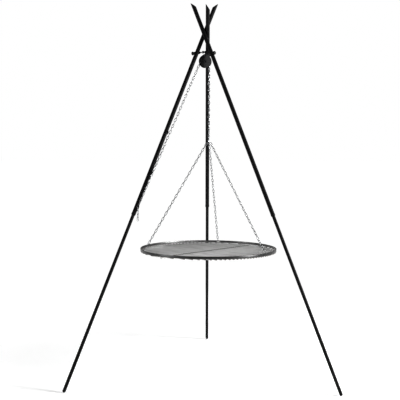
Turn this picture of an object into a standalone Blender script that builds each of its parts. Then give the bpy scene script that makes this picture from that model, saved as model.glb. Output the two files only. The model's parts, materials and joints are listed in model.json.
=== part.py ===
"""Tripod grill: three two-piece tube legs crossing at the top, a pulley with a height chain,
and a round grate on three chains. Metres, +Z up, the feet on Z = 0."""

from math import acos, asin, atan, atan2, cos, floor, pi, radians, sin, sqrt, tan

import bmesh
import bpy
from mathutils import Matrix, Vector

# Fit
CLEARANCE = 0.0003

# Faces round a section, by how large the piece is
BAR_SIDES = 6
PIN_SIDES = 8
SMALL_SIDES = 10
TUBE_SIDES = 12
WHEEL_SIDES = 18
PLATE_SIDES = 24

# Shares of a riveted or turned head: its flat crown's width, and the height of its shoulder
HEAD_CROWN = 0.7
HEAD_SHOULDER = 0.4

# Legs
FOOT_CIRCLE_RADIUS = 0.7625
CROSSING_ABOVE_RING = 0.0915
FRONT_TIP_REACH = 0.282
REAR_TIP_REACH = 0.259
LOWER_LEG_SHOWN = 0.913
SOCKET_DEPTH = 0.080
UPPER_TUBE_DIAMETER = 0.020
LOWER_TUBE_DIAMETER = 0.016
TUBE_WALL = 0.0015
SOCKET_BEAD = 0.0006
SOCKET_BEAD_LENGTH = 0.010
STOP_RING_BORE = 0.013
STOP_RING_LENGTH = 0.005
TIP_CUT_ANGLE = radians(33)
FOOT_PLUG_DEPTH = 0.014
LEG_AZIMUTHS = {"Left": radians(210), "Right": radians(330), "Rear": radians(90)}
TIP_POINT_AZIMUTHS = {"Left": radians(30), "Right": radians(150), "Rear": radians(195)}
# How far each leg goes on past its eye bolt; the rear one ends lower in the photograph
TIP_REACHES = {"Left": FRONT_TIP_REACH, "Right": FRONT_TIP_REACH, "Rear": REAR_TIP_REACH}

# Head ring and the eye bolts through the legs
RING_HEIGHT = 1.6505
RING_RADIUS = 0.012
RING_WIRE = 0.004
BOLT_DROP = 0.005
BOLT_DIAMETER = 0.0042
EYE_RADIUS = 0.0046
EYE_OPENING = radians(50)
SADDLE_DIAMETER = 0.014
OUTER_SADDLE_REACH = 0.0179
INNER_SADDLE_REACH = 0.0150
SADDLE_BACK = UPPER_TUBE_DIAMETER / 4
NUT_WIDTH = 0.0085
NUT_HEIGHT = 0.0042
CAP_NUT_DIAMETER = 0.018
CAP_NUT_LENGTH = 0.0098
CAP_NUT_HOLE_DEPTH = 0.006
CAP_NUT_DOME = 0.45
CAP_NUT_SEAT = 0.85
CAP_NUT_CHAMFER = 0.15

# Pulley block
SHEAVE_DROP = 0.0465
PULLEY_AZIMUTH = radians(30)
CHAIN_LINE_RADIUS = 0.0235
SHEAVE_DIAMETER = 0.053
SHEAVE_GROOVE_DIAMETER = 0.0329
GROOVE_WIDTH = 0.0112
SHEAVE_FLANGE = 0.001
SHEAVE_SIDE_PLAY = 0.0005
GROOVE_CORNER = 0.4
CHEEK_RADIUS = 0.032
CHEEK_THICKNESS = 0.0028
CHEEK_TOP_RADIUS = 0.005
HANGER_PIN_DROP = 0.0135
HANGER_PIN_DIAMETER = 0.004
HANGER_LUG_RADIUS = 0.0042
HANGER_LUG_THICKNESS = 0.0045
HANGER_BAR_LENGTH = 0.032
HANGER_BAR_DIAMETER = 0.004
HANGER_STEM_DIAMETER = 0.0042
HANGER_BAR_TURN = radians(75)
AXLE_DIAMETER = 0.008
AXLE_HEAD_DIAMETER = 0.014
RIVET_HEAD_DIAMETER = 0.008
RIVET_HEAD_HEIGHT = 0.0015

# Chain
CHAIN_PITCH = 0.0168
CHAIN_WIRE = 0.0027
CHAIN_WIDTH = 0.0108
LINK_END_FLAT = 0.0058
LINK_PLAY = 0.0004
TAIL_LINKS = 4
TAIL_PLAY = 0.0007
RUN_PLAY = 0.0003

# Hooks for the height chain on the left leg, measured along its upper tube from the mouth
UPPER_HOOK_RISE = 0.449
MIDDLE_HOOK_RISE = 0.232
LOWER_HOOK_RISE = 0.047
HOOK_AZIMUTH = radians(-56)
HOOK_ROD = 0.004
HOOK_REACH = 0.024
HOOK_CHAIN_REACH = 0.016
HOOK_FINGER = 0.016
HOOK_BEND = 0.003

# Hub plate and swivel
HUB_HEIGHT = 1.190
HUB_PLATE_THICKNESS = 0.0025
HUB_WEB_RADIUS = 0.0115
HUB_WEB = 0.0022
HUB_CHAIN_HOLE = 0.0054
SWIVEL_STEM_DIAMETER = 0.005
SWIVEL_COLLAR_DIAMETER = 0.0084
SWIVEL_HEAD_DIAMETER = 0.0095
SWIVEL_HEAD_HEIGHT = 0.0025
SWIVEL_LUG_RADIUS = 0.0055
SWIVEL_LUG_HOLE = 0.0052
SWIVEL_LUG_THICKNESS = 0.0026
SWIVEL_NECK = 0.004
SWIVEL_NECK_WAIST = 0.8
SWIVEL_NECK_END = 0.9
SWIVEL_WELD = 0.0012

# Grate
GRATE_DIAMETER = 0.700
RIM_TOP = 0.6515
RIM_HEIGHT = 0.013
RIM_THICKNESS = 0.003
ROD_DIAMETER = 0.005
ROD_PITCH = 0.0178
ROD_AZIMUTH = radians(138.5)
ROD_END_INSET = 0.0006
SUPPORT_WIDTH = 0.008
SUPPORT_HEIGHT = 0.006
SUPPORT_WELD = 0.0008
RIM_SEGMENTS = 48
CHAIN_AZIMUTHS = {"Rear": radians(81), "Left": radians(195.5), "Right": radians(327.5)}
RIM_EYE_WIRE = 0.004
RIM_EYE_WIDTH = 0.016
RIM_EYE_REACH = 0.011
RIM_EYE_DROP = 0.005
S_HOOK_WIRE = 0.0032
S_HOOK_LENGTH = 0.024

UP = Vector((0, 0, 1))


def horizontal(azimuth):
    """Level unit vector at an angle from +X, anticlockwise seen from above."""
    return Vector((cos(azimuth), sin(azimuth), 0))


LEG_TILT = atan(FOOT_CIRCLE_RADIUS / (RING_HEIGHT + CROSSING_ABOVE_RING))
LEG_SPACING = UPPER_TUBE_DIAMETER + CLEARANCE
LEG_OFFSET = LEG_SPACING * sqrt(1 + tan(LEG_TILT) ** 2 / 4) / sqrt(3)
FOOT_END_RADIUS = LOWER_TUBE_DIAMETER / 2


def foot_from_axis(azimuth):
    """Where a leg's axis meets the ground, seen from the tripod's upright axis."""
    beside = horizontal(azimuth + pi / 2)
    return horizontal(azimuth) * FOOT_CIRCLE_RADIUS - beside * LEG_OFFSET


def leg_direction(azimuth):
    """Unit vector up along a leg, which leans inwards."""
    return UP * cos(LEG_TILT) - horizontal(azimuth) * sin(LEG_TILT)


def tripod_axis():
    """Foot of the upright axis, placed so that the middle of the box round the feet is X = Y = 0."""
    low = []
    high = []
    for azimuth in LEG_AZIMUTHS.values():
        along = leg_direction(azimuth)
        end = foot_from_axis(azimuth) + along * FOOT_END_RADIUS / cos(LEG_TILT)
        reach = Vector([FOOT_END_RADIUS * sqrt(1 - part * part) for part in along])
        low.append(end - reach)
        high.append(end + reach)
    middle_x = (min(corner.x for corner in low) + max(corner.x for corner in high)) / 2
    middle_y = (min(corner.y for corner in low) + max(corner.y for corner in high)) / 2
    return Vector((-middle_x, -middle_y, 0))


AXIS = tripod_axis()


class Leg:
    """One leg's axis: points along it from the foot, and directions square to it."""

    def __init__(self, name):
        self.name = name
        self.azimuth = LEG_AZIMUTHS[name]
        self.foot = AXIS + foot_from_axis(self.azimuth)
        self.along = leg_direction(self.azimuth)
        self.inward = self.square(-horizontal(self.azimuth))
        self.joint = LOWER_LEG_SHOWN
        self.tip = (RING_HEIGHT - BOLT_DROP) / cos(LEG_TILT) + TIP_REACHES[name]
        self.ring_point, self.bolt_along, self.bolt_reach = self.bolt_line()

    def point(self, distance):
        return self.foot + self.along * distance

    def at_height(self, height):
        return self.point(height / cos(LEG_TILT))

    def square(self, direction):
        return (direction - self.along * direction.dot(self.along)).normalized()

    def bolt_line(self):
        """Start on the head ring, direction, and distance to the tube's axis, of the eye bolt."""
        centre = self.at_height(RING_HEIGHT - BOLT_DROP)
        outward = Vector((centre.x - AXIS.x, centre.y - AXIS.y, 0)).normalized()
        start = AXIS + UP * RING_HEIGHT + outward * RING_RADIUS
        line = centre - start
        return start, line.normalized(), line.length


def clear_scene():
    for old in list(bpy.data.objects):
        bpy.data.objects.remove(old, do_unlink=True)


def make_material(name, colour, roughness, metallic):
    material = bpy.data.materials.new(name)
    material.use_nodes = True
    shader = material.node_tree.nodes["Principled BSDF"]
    shader.inputs["Base Color"].default_value = (*colour, 1)
    shader.inputs["Roughness"].default_value = roughness
    shader.inputs["Metallic"].default_value = metallic
    return material


def place(origin, axis, hint):
    """Frame at origin with Z along the axis and X along the part of the hint square to it."""
    z = axis.normalized()
    x = (hint - z * hint.dot(z)).normalized()
    y = z.cross(x)
    turn = Matrix((x, y, z)).transposed().to_4x4()
    return Matrix.Translation(origin) @ turn


class Body:
    """An empty at a joint that carries the pieces moving with it."""

    def __init__(self, name, pivot, parent=None):
        self.empty = bpy.data.objects.new(name, None)
        self.empty.empty_display_size = 0.02
        self.pivot = pivot
        bpy.context.collection.objects.link(self.empty)
        self.empty.location = pivot
        if parent:
            self.empty.parent = parent.empty
            self.empty.location = pivot - parent.pivot


def add_object(name, bm, frame, material, body, sharp=35):
    """Turns a bmesh drawn in a local frame into a named object carried by a body."""
    bmesh.ops.transform(bm, matrix=frame, verts=bm.verts)
    bmesh.ops.translate(bm, vec=-body.pivot, verts=bm.verts)
    bmesh.ops.recalc_face_normals(bm, faces=bm.faces)
    mesh = bpy.data.meshes.new(name)
    bm.to_mesh(mesh)
    bm.free()
    mesh.materials.append(material)
    mesh.shade_smooth()
    mesh.set_sharp_from_angle(angle=radians(sharp))
    item = bpy.data.objects.new(name, mesh)
    bpy.context.collection.objects.link(item)
    item.parent = body.empty
    return item


def combine(item, other, operation="DIFFERENCE"):
    """Cuts a guide out of an object, or joins it on."""
    other.hide_render = True
    other.display_type = "WIRE"
    modifier = item.modifiers.new(operation.title(), "BOOLEAN")
    modifier.operation = operation
    modifier.solver = "EXACT"
    modifier.object = other


def turned(outline, sides, closed=False):
    """Lathe: (radius, height) points turned about local Z; a closed outline makes a tube."""
    bm = bmesh.new()
    points = [bm.verts.new((radius, 0, height)) for radius, height in outline]
    edges = [bm.edges.new(pair) for pair in zip(points, points[1:])]
    if closed:
        edges.append(bm.edges.new((points[-1], points[0])))
    bmesh.ops.spin(
        bm,
        geom=points + edges,
        cent=(0, 0, 0),
        axis=(0, 0, 1),
        angle=2 * pi,
        steps=sides,
        use_merge=True,
    )
    bmesh.ops.remove_doubles(bm, verts=bm.verts, dist=1e-7)
    return bm


def prism(outline, start, end):
    """Extrudes a flat outline in local XY from one height to another."""
    bm = bmesh.new()
    face = bm.faces.new([bm.verts.new((x, y, start)) for x, y in outline])
    grown = bmesh.ops.extrude_face_region(bm, geom=[face])["geom"]
    moved = [part for part in grown if isinstance(part, bmesh.types.BMVert)]
    bmesh.ops.translate(bm, vec=(0, 0, end - start), verts=moved)
    return bm


def circle(radius, sides, centre=(0, 0), start=0.0):
    """Corners of a regular polygon."""
    angles = [start + 2 * pi * step / sides for step in range(sides)]
    return [(centre[0] + radius * cos(angle), centre[1] + radius * sin(angle)) for angle in angles]


def arc(centre, radius, start, end, steps):
    """Points along an arc, both ends included."""
    angles = [start + (end - start) * step / steps for step in range(steps + 1)]
    return [Vector((centre[0] + radius * cos(a), centre[1] + radius * sin(a))) for a in angles]


def mitred_rings(path, section, closed):
    """Rings of points along a flat path in local XY; section points are (outward, along Z)."""
    rings = []
    last = len(path) - 1
    for index, point in enumerate(path):
        before = path[index - 1] if index > 0 or closed else None
        after = path[(index + 1) % len(path)] if index < last or closed else None
        into = (point - before).normalized() if before is not None else (after - point).normalized()
        out = (after - point).normalized() if after is not None else into
        side_in = Vector((into.y, -into.x))
        side_out = Vector((out.y, -out.x))
        mitre = (side_in + side_out) / (1 + side_in.dot(side_out))
        rings.append([(*(point + mitre * across), height) for across, height in section])
    return rings


def add_bar(bm, path, section, closed=False):
    """Skins a bar along a flat path; returns its rings of vertices."""
    rings = [[bm.verts.new(p) for p in ring] for ring in mitred_rings(path, section, closed)]
    count = len(section)
    spans = list(zip(rings, rings[1:]))
    if closed:
        spans.append((rings[-1], rings[0]))
    for ring, following in spans:
        for side in range(count):
            after = (side + 1) % count
            bm.faces.new((ring[side], ring[after], following[after], following[side]))
    if not closed:
        bm.faces.new(rings[0])
        bm.faces.new(rings[-1])
    return rings


def bar(path, diameter, sides=BAR_SIDES, closed=False):
    """Round bar of the given diameter along a flat path in local XY."""
    bm = bmesh.new()
    points = [Vector(point) for point in path]
    add_bar(bm, points, circle(diameter / 2, sides, start=pi / sides), closed)
    return bm


def bore_radius(pin_diameter, sides):
    """Corner radius of a faceted bore whose flats clear a pin."""
    return (pin_diameter / 2 + CLEARANCE) / cos(pi / sides)


def cylinder(diameter, start, end, sides=TUBE_SIDES):
    return turned([(0, start), (diameter / 2, start), (diameter / 2, end), (0, end)], sides)


def headed_pin(stops, shank_diameter, head_diameter):
    """Rivet: a shank between two heads; stops are the heads' outer and inner faces from below."""
    head = head_diameter / 2
    shank = shank_diameter / 2
    low, low_face, high_face, high = stops
    outline = [
        (0, low),
        (head * HEAD_CROWN, low),
        (head, low_face - (low_face - low) * HEAD_SHOULDER),
        (head, low_face),
        (shank, low_face),
        (shank, high_face),
        (head, high_face),
        (head, high_face + (high - high_face) * HEAD_SHOULDER),
        (head * HEAD_CROWN, high),
        (0, high),
    ]
    return turned(outline, SMALL_SIDES)


# Chain links

# Wedge-shaped wire, flat on the link's inner side where the next link bears on it.
LINK_SECTION = (
    (CHAIN_WIRE / 2, CHAIN_WIRE / 2),
    (CHAIN_WIRE / 2, -CHAIN_WIRE / 2),
    (-CHAIN_WIRE / 2, 0),
)


def link_path(inner_length):
    """Corners of a link's wire: a flat at each end and sides that bow out to the full width."""
    end = (inner_length + CHAIN_WIRE) / 2
    side = (CHAIN_WIDTH - CHAIN_WIRE) / 2
    flat = LINK_END_FLAT / 2
    corners = [(-flat, end), (flat, end), (side, 0), (flat, -end), (-flat, -end), (-side, 0)]
    return [Vector(corner) for corner in corners]


def add_link(bm, start, end, normal):
    """One link from one bearing point to the next; returns its two inner end faces' corners."""
    along = (end - start).normalized()
    flat_normal = (normal - along * normal.dot(along)).normalized()
    across = along.cross(flat_normal)
    middle = (start + end) / 2
    frame = Matrix((across, along, across.cross(along))).transposed().to_4x4()
    frame = Matrix.Translation(middle) @ frame
    path = link_path((end - start).length + LINK_PLAY)
    rings = add_bar(bm, path, LINK_SECTION, closed=True)
    bmesh.ops.transform(bm, matrix=frame, verts=[v for ring in rings for v in ring])
    far = [rings[0][0], rings[0][1], rings[1][1], rings[1][0]]
    near = [rings[3][0], rings[3][1], rings[4][1], rings[4][0]]
    return near, far


def link_normals(points, first_normal, last_normal=None):
    """A quarter turn from link to link, with what is left over spread along the strand."""
    count = len(points) - 1
    normals = []
    before = (points[1] - points[0]).normalized()
    normal = (first_normal - before * first_normal.dot(before)).normalized()
    for start, end in zip(points, points[1:]):
        along = (end - start).normalized()
        normal = before.rotation_difference(along) @ normal
        normals.append((normal, along))
        normal = along.cross(normal)
        before = along
    if last_normal is None:
        return [normal for normal, along in normals]
    end_normal, end_along = normals[-1]
    wanted = (last_normal - end_along * last_normal.dot(end_along)).normalized()
    rest = atan2(end_along.dot(end_normal.cross(wanted)), end_normal.dot(wanted))
    rest -= round(rest / pi) * pi
    turned_normals = []
    for index, (normal, along) in enumerate(normals):
        share = rest * index / max(count - 1, 1)
        turned_normals.append(Matrix.Rotation(share, 3, along) @ normal)
    return turned_normals


def nearest_of(first, wanted):
    """Order of two loops of four corners with the least twist between them."""
    shifts = [first[step:] + first[:step] for step in range(4)]
    shifts += [list(reversed(shift)) for shift in shifts]
    return min(shifts, key=lambda s: sum((a.co - b.co).length_squared for a, b in zip(s, wanted)))


def chain(points, normals):
    """Links between bearing points, each touching the next where its wire bears on it."""
    bm = bmesh.new()
    ends = [add_link(bm, *link) for link in zip(points, points[1:], normals)]
    bearing_faces = []
    for (_, far), (near, _) in zip(ends, ends[1:]):
        matched = nearest_of(near, far)
        bearing_faces += [bm.faces.get(far), bm.faces.get(near)]
        for side in range(4):
            after = (side + 1) % 4
            bm.faces.new((far[side], far[after], matched[after], matched[side]))
    bmesh.ops.delete(bm, geom=bearing_faces, context="FACES_ONLY")
    return bm


def strand(start, end, pitch=CHAIN_PITCH):
    """Bearing points of a straight run, at the whole number of links nearest the pitch."""
    count = max(1, round((end - start).length / pitch))
    return [start.lerp(end, index / count) for index in range(count + 1)]


# Legs

def upper_tube(leg, body, material, bolt_cutter):
    """Top tube of a leg: beaded socket mouth, stop ring inside, and a slanting cut at the tip."""
    outer = UPPER_TUBE_DIAMETER / 2
    bore = outer - TUBE_WALL
    bead = outer + SOCKET_BEAD
    length = leg.tip - leg.joint + UPPER_TUBE_DIAMETER
    stop_end = SOCKET_DEPTH + STOP_RING_LENGTH
    outline = [
        (bore, 0),
        (outer, 0),
        (bead, SOCKET_BEAD),
        (bead, SOCKET_BEAD_LENGTH),
        (outer, SOCKET_BEAD_LENGTH + 2 * SOCKET_BEAD),
        (outer, length),
        (bore, length),
        (bore, stop_end),
        (STOP_RING_BORE / 2, stop_end),
        (STOP_RING_BORE / 2, SOCKET_DEPTH),
        (bore, SOCKET_DEPTH),
    ]
    bm = turned(outline, TUBE_SIDES, closed=True)
    bmesh.ops.recalc_face_normals(bm, faces=bm.faces)
    frame = place(leg.point(leg.joint), leg.along, leg.inward)
    point_side = leg.square(horizontal(TIP_POINT_AZIMUTHS[leg.name]))
    local_side = frame.to_3x3().inverted() @ point_side
    slope = UP * sin(TIP_CUT_ANGLE) - local_side * cos(TIP_CUT_ANGLE)
    highest = local_side * outer + UP * (leg.tip - leg.joint)
    cut = bmesh.ops.bisect_plane(
        bm,
        geom=bm.verts[:] + bm.edges[:] + bm.faces[:],
        plane_co=highest,
        plane_no=slope,
        clear_outer=True,
    )
    edges = [part for part in cut["geom_cut"] if isinstance(part, bmesh.types.BMEdge)]
    bmesh.ops.bridge_loops(bm, edges=edges)
    tube = add_object(f"Leg_{leg.name}_Upper_Tube", bm, frame, material, body)
    combine(tube, bolt_cutter)
    return tube


def lower_tube(leg, body, material):
    """Bottom tube of a leg, whose top end plugs into the socket."""
    outer = LOWER_TUBE_DIAMETER / 2
    bore = outer - TUBE_WALL
    start = FOOT_END_RADIUS / cos(LEG_TILT)
    end = leg.joint + SOCKET_DEPTH - CLEARANCE
    outline = [(bore, start), (outer, start), (outer, end), (bore, end)]
    frame = place(leg.foot, leg.along, leg.inward)
    bm = turned(outline, TUBE_SIDES, closed=True)
    return add_object(f"Leg_{leg.name}_Lower_Tube", bm, frame, material, body)


def foot_plug(leg, body, material):
    """Domed end plug, round enough to stand the slanting tube on a point of its dome."""
    start = FOOT_END_RADIUS / cos(LEG_TILT)
    seat = start - CLEARANCE
    shank = LOWER_TUBE_DIAMETER / 2 - TUBE_WALL - CLEARANCE
    dome = FOOT_END_RADIUS - CLEARANCE / cos(LEG_TILT)
    from_pole = [0, LEG_TILT, radians(45), radians(68), radians(90)]
    outline = [(dome * sin(angle), seat - dome * cos(angle)) for angle in from_pole]
    outline += [(shank, seat), (shank, start + FOOT_PLUG_DEPTH), (0, start + FOOT_PLUG_DEPTH)]
    frame = place(leg.foot, leg.along, leg.inward)
    bm = turned(outline, TUBE_SIDES)
    return add_object(f"Leg_{leg.name}_Foot_Plug", bm, frame, material, body)


def eye_bolt(leg, body, material):
    """Rod bent to an eye round the head ring, then straight out through the tube."""
    eye = arc((0, 0), EYE_RADIUS, EYE_OPENING, 2 * pi - EYE_OPENING, 7)
    neck = EYE_RADIUS + BOLT_DIAMETER
    end = leg.bolt_reach + OUTER_SADDLE_REACH + CAP_NUT_HOLE_DEPTH
    path = eye + [Vector((neck, 0)), Vector((end, 0))]
    across = leg.bolt_along.cross(UP)
    frame = place(leg.ring_point, across, leg.bolt_along)
    return add_object(f"Leg_{leg.name}_Eye_Bolt", bar(path, BOLT_DIAMETER), frame, material, body)


def saddle(leg, name, reach, direction, body, material, tube_cutter):
    """Washer with one face hollowed to sit on the tube."""
    centre = leg.ring_point + leg.bolt_along * leg.bolt_reach
    outer = SADDLE_DIAMETER / 2
    bore = bore_radius(BOLT_DIAMETER, TUBE_SIDES)
    outline = [(bore, SADDLE_BACK), (outer, SADDLE_BACK), (outer, reach), (bore, reach)]
    frame = place(centre, direction, UP)
    bm = turned(outline, TUBE_SIDES, True)
    item = add_object(f"Leg_{leg.name}_{name}", bm, frame, material, body)
    combine(item, tube_cutter)
    return item


def inner_nut(leg, body, material):
    """Hexagon nut that holds the inner saddle against the tube."""
    outer = NUT_WIDTH / 2 / cos(pi / 6)
    bore = bore_radius(BOLT_DIAMETER, BAR_SIDES)
    seat = INNER_SADDLE_REACH + CLEARANCE
    outline = [(bore, seat), (outer, seat), (outer, seat + NUT_HEIGHT), (bore, seat + NUT_HEIGHT)]
    centre = leg.ring_point + leg.bolt_along * leg.bolt_reach
    frame = place(centre, -leg.bolt_along, UP)
    return add_object(f"Leg_{leg.name}_Inner_Nut", turned(outline, 6, True), frame, material, body)


def cap_nut(leg, body, material):
    """Domed nut on the bolt's outer end, with a blind hole for the thread."""
    outer = CAP_NUT_DIAMETER / 2
    hole = bore_radius(BOLT_DIAMETER, TUBE_SIDES)
    seat = OUTER_SADDLE_REACH + CLEARANCE
    end = seat + CAP_NUT_LENGTH
    rise = CAP_NUT_LENGTH * CAP_NUT_DOME
    dome = [(outer * cos(angle), end - rise + rise * sin(angle)) for angle in
            (0, radians(35), radians(65), radians(90))]
    dome[-1] = (0, end)
    outline = [(0, seat + CAP_NUT_HOLE_DEPTH), (hole, seat + CAP_NUT_HOLE_DEPTH), (hole, seat)]
    outline += [(outer * CAP_NUT_SEAT, seat), (outer, seat + CAP_NUT_LENGTH * CAP_NUT_CHAMFER)] + dome
    centre = leg.ring_point + leg.bolt_along * leg.bolt_reach
    frame = place(centre, leg.bolt_along, UP)
    bm = turned(outline, TUBE_SIDES)
    return add_object(f"Leg_{leg.name}_Cap_Nut", bm, frame, material, body)


def bolt_hole_cutter(leg, body, material):
    """Guide for the hole that the eye bolt takes through both walls of the tube."""
    centre = leg.ring_point + leg.bolt_along * leg.bolt_reach
    reach = UPPER_TUBE_DIAMETER
    bm = cylinder(2 * bore_radius(BOLT_DIAMETER, PIN_SIDES), -reach, reach, PIN_SIDES)
    frame = place(centre, leg.bolt_along, UP)
    return add_object(f"Guide_{leg.name}_Bolt_Hole", bm, frame, material, body)


def tube_cutter(leg, body, material):
    """Guide in the tube's own form that hollows the saddles."""
    centre = leg.ring_point + leg.bolt_along * leg.bolt_reach
    reach = 2 * SADDLE_DIAMETER
    bm = cylinder(2 * bore_radius(UPPER_TUBE_DIAMETER, TUBE_SIDES), -reach, reach, TUBE_SIDES)
    frame = place(centre, leg.along, leg.inward)
    return add_object(f"Guide_{leg.name}_Tube", bm, frame, material, body)


def hook_frame(leg, position):
    """Local X out from the tube, local Y up along it."""
    outward = leg.square(horizontal(HOOK_AZIMUTH))
    return place(leg.point(position), outward.cross(leg.along), outward)


def chain_hook(leg, index, position, body, material):
    """Bent rod welded to the tube, open downwards: the chain's pull holds a link in its bend."""
    inner = UPPER_TUBE_DIAMETER / 2 + CLEARANCE
    bend = arc((HOOK_REACH - HOOK_BEND, -HOOK_BEND), HOOK_BEND, pi / 2, 0, 3)
    path = [Vector((inner, 0))] + bend + [Vector((HOOK_REACH, -HOOK_FINGER))]
    frame = hook_frame(leg, position)
    return add_object(f"Chain_Hook_{index}", bar(path, HOOK_ROD), frame, material, body)


# Head

def head_ring(body, material):
    """Level ring that the three eye bolts and the pulley's hanger share."""
    path = [Vector(p) for p in circle(RING_RADIUS, 15)]
    frame = Matrix.Translation(AXIS + UP * RING_HEIGHT)
    return add_object("Head_Ring", bar(path, RING_WIRE, closed=True), frame, material, body)


PULLEY_ALONG = horizontal(PULLEY_AZIMUTH)
PULLEY_ACROSS = PULLEY_ALONG.cross(UP)
SHEAVE_CENTRE = AXIS + UP * (RING_HEIGHT - SHEAVE_DROP)
PULLEY_FRAME = place(SHEAVE_CENTRE, PULLEY_ACROSS, PULLEY_ALONG)
PIN_HEIGHT = SHEAVE_DROP - HANGER_PIN_DROP
SHEAVE_HALF = GROOVE_WIDTH / 2 + SHEAVE_FLANGE
CHEEK_INNER = SHEAVE_HALF + SHEAVE_SIDE_PLAY
CHEEK_OUTER = CHEEK_INNER + CHEEK_THICKNESS


def hanger(body, material):
    """Forged tee: a bar across the ring's top, a stem down through it and a lug for the pin."""
    lug_frame = PULLEY_FRAME @ Matrix.Translation((0, PIN_HEIGHT, 0))
    half = HANGER_LUG_THICKNESS / 2
    lug = add_object(
        "Hanger", prism(circle(HANGER_LUG_RADIUS, TUBE_SIDES), -half, half), lug_frame, material, body
    )
    bar_height = RING_WIRE / 2 + CLEARANCE + HANGER_BAR_DIAMETER / 2
    ring_centre = AXIS + UP * RING_HEIGHT
    stem_frame = Matrix.Translation(ring_centre)
    stem_foot = -HANGER_PIN_DROP + HANGER_LUG_RADIUS / 2
    stem_bm = cylinder(HANGER_STEM_DIAMETER, stem_foot, bar_height, PIN_SIDES)
    stem = add_object("Guide_Hanger_Stem", stem_bm, stem_frame, material, body)
    bar_frame = place(ring_centre + UP * bar_height, horizontal(PULLEY_AZIMUTH + HANGER_BAR_TURN), UP)
    half_bar = HANGER_BAR_LENGTH / 2
    top_bm = cylinder(HANGER_BAR_DIAMETER, -half_bar, half_bar, PIN_SIDES)
    top = add_object("Guide_Hanger_Bar", top_bm, bar_frame, material, body)
    reach = 2 * CHEEK_OUTER
    hole_diameter = 2 * bore_radius(HANGER_PIN_DIAMETER, SMALL_SIDES)
    hole_bm = cylinder(hole_diameter, -reach, reach, SMALL_SIDES)
    hole = add_object("Guide_Pin_Hole", hole_bm, lug_frame, material, body)
    combine(lug, stem, "UNION")
    combine(lug, top, "UNION")
    combine(lug, hole)
    return lug, hole


def cheek_outline():
    """Teardrop: the large round of the sheave and the small round of the pin, with their tangents."""
    lean = asin((CHEEK_RADIUS - CHEEK_TOP_RADIUS) / PIN_HEIGHT)
    large = arc((0, 0), CHEEK_RADIUS, pi - lean, 2 * pi + lean, 16)
    small = arc((0, PIN_HEIGHT), CHEEK_TOP_RADIUS, lean, pi - lean, 3)
    return [tuple(point) for point in large + small]


def cheek(side, body, material, pin_hole, axle_hole):
    """One side plate of the pulley block."""
    name = "Front" if side > 0 else "Back"
    near, far = sorted((side * CHEEK_INNER, side * CHEEK_OUTER))
    bm = prism(cheek_outline(), near, far)
    item = add_object(f"Pulley_Cheek_{name}", bm, PULLEY_FRAME, material, body)
    combine(item, pin_hole)
    combine(item, axle_hole)
    return item


def rivet(name, height, diameter, head, body, material):
    """Rivet through both cheeks, with a low round head on each."""
    face = CHEEK_OUTER + CLEARANCE
    top = face + RIVET_HEAD_HEIGHT
    frame = PULLEY_FRAME @ Matrix.Translation((0, height, 0))
    bm = headed_pin((-top, -face, face, top), diameter, head)
    return add_object(name, bm, frame, material, body)


def sheave(body, material):
    """Grooved wheel that the chain runs over."""
    bore = bore_radius(AXLE_DIAMETER, WHEEL_SIDES)
    outer = SHEAVE_DIAMETER / 2
    groove = SHEAVE_GROOVE_DIAMETER / 2
    half = GROOVE_WIDTH / 2
    corner = half * GROOVE_CORNER
    outline = [
        (bore, -SHEAVE_HALF),
        (outer, -SHEAVE_HALF),
        (outer, -half),
        (groove + corner, -half),
        (groove, -half + corner),
        (groove, half - corner),
        (groove + corner, half),
        (outer, half),
        (outer, SHEAVE_HALF),
        (bore, SHEAVE_HALF),
    ]
    bm = turned(outline, WHEEL_SIDES, True)
    return add_object("Sheave", bm, PULLEY_FRAME, material, body)


def in_pulley(along, height):
    """Point in the sheave's middle plane."""
    return SHEAVE_CENTRE + PULLEY_ALONG * along + UP * height


def leaving_angle(target):
    """Angle round the sheave where the height chain leaves it for the hook on the leg."""
    away = target - SHEAVE_CENTRE
    along = away.dot(PULLEY_ALONG)
    distance = sqrt(along * along + away.z * away.z)
    return atan2(away.z, along) % (2 * pi) - acos(CHAIN_LINE_RADIUS / distance)


def sheave_points(target):
    """Bearing points of the links on the sheave, from the grate's side over the top."""
    leaving = leaving_angle(target)
    count = round(leaving * CHAIN_LINE_RADIUS / CHAIN_PITCH)
    angles = [leaving * index / count for index in range(count + 1)]
    return [in_pulley(CHAIN_LINE_RADIUS * cos(a), CHAIN_LINE_RADIUS * sin(a)) for a in angles]


# Hub and grate

MAIN_TOP = in_pulley(CHAIN_LINE_RADIUS, 0)
HUB_CENTRE = Vector((MAIN_TOP.x, MAIN_TOP.y, HUB_HEIGHT))
LUG_HOLE_HEIGHT = HUB_PLATE_THICKNESS / 2 + CLEARANCE + SWIVEL_NECK + SWIVEL_LUG_RADIUS


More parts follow.
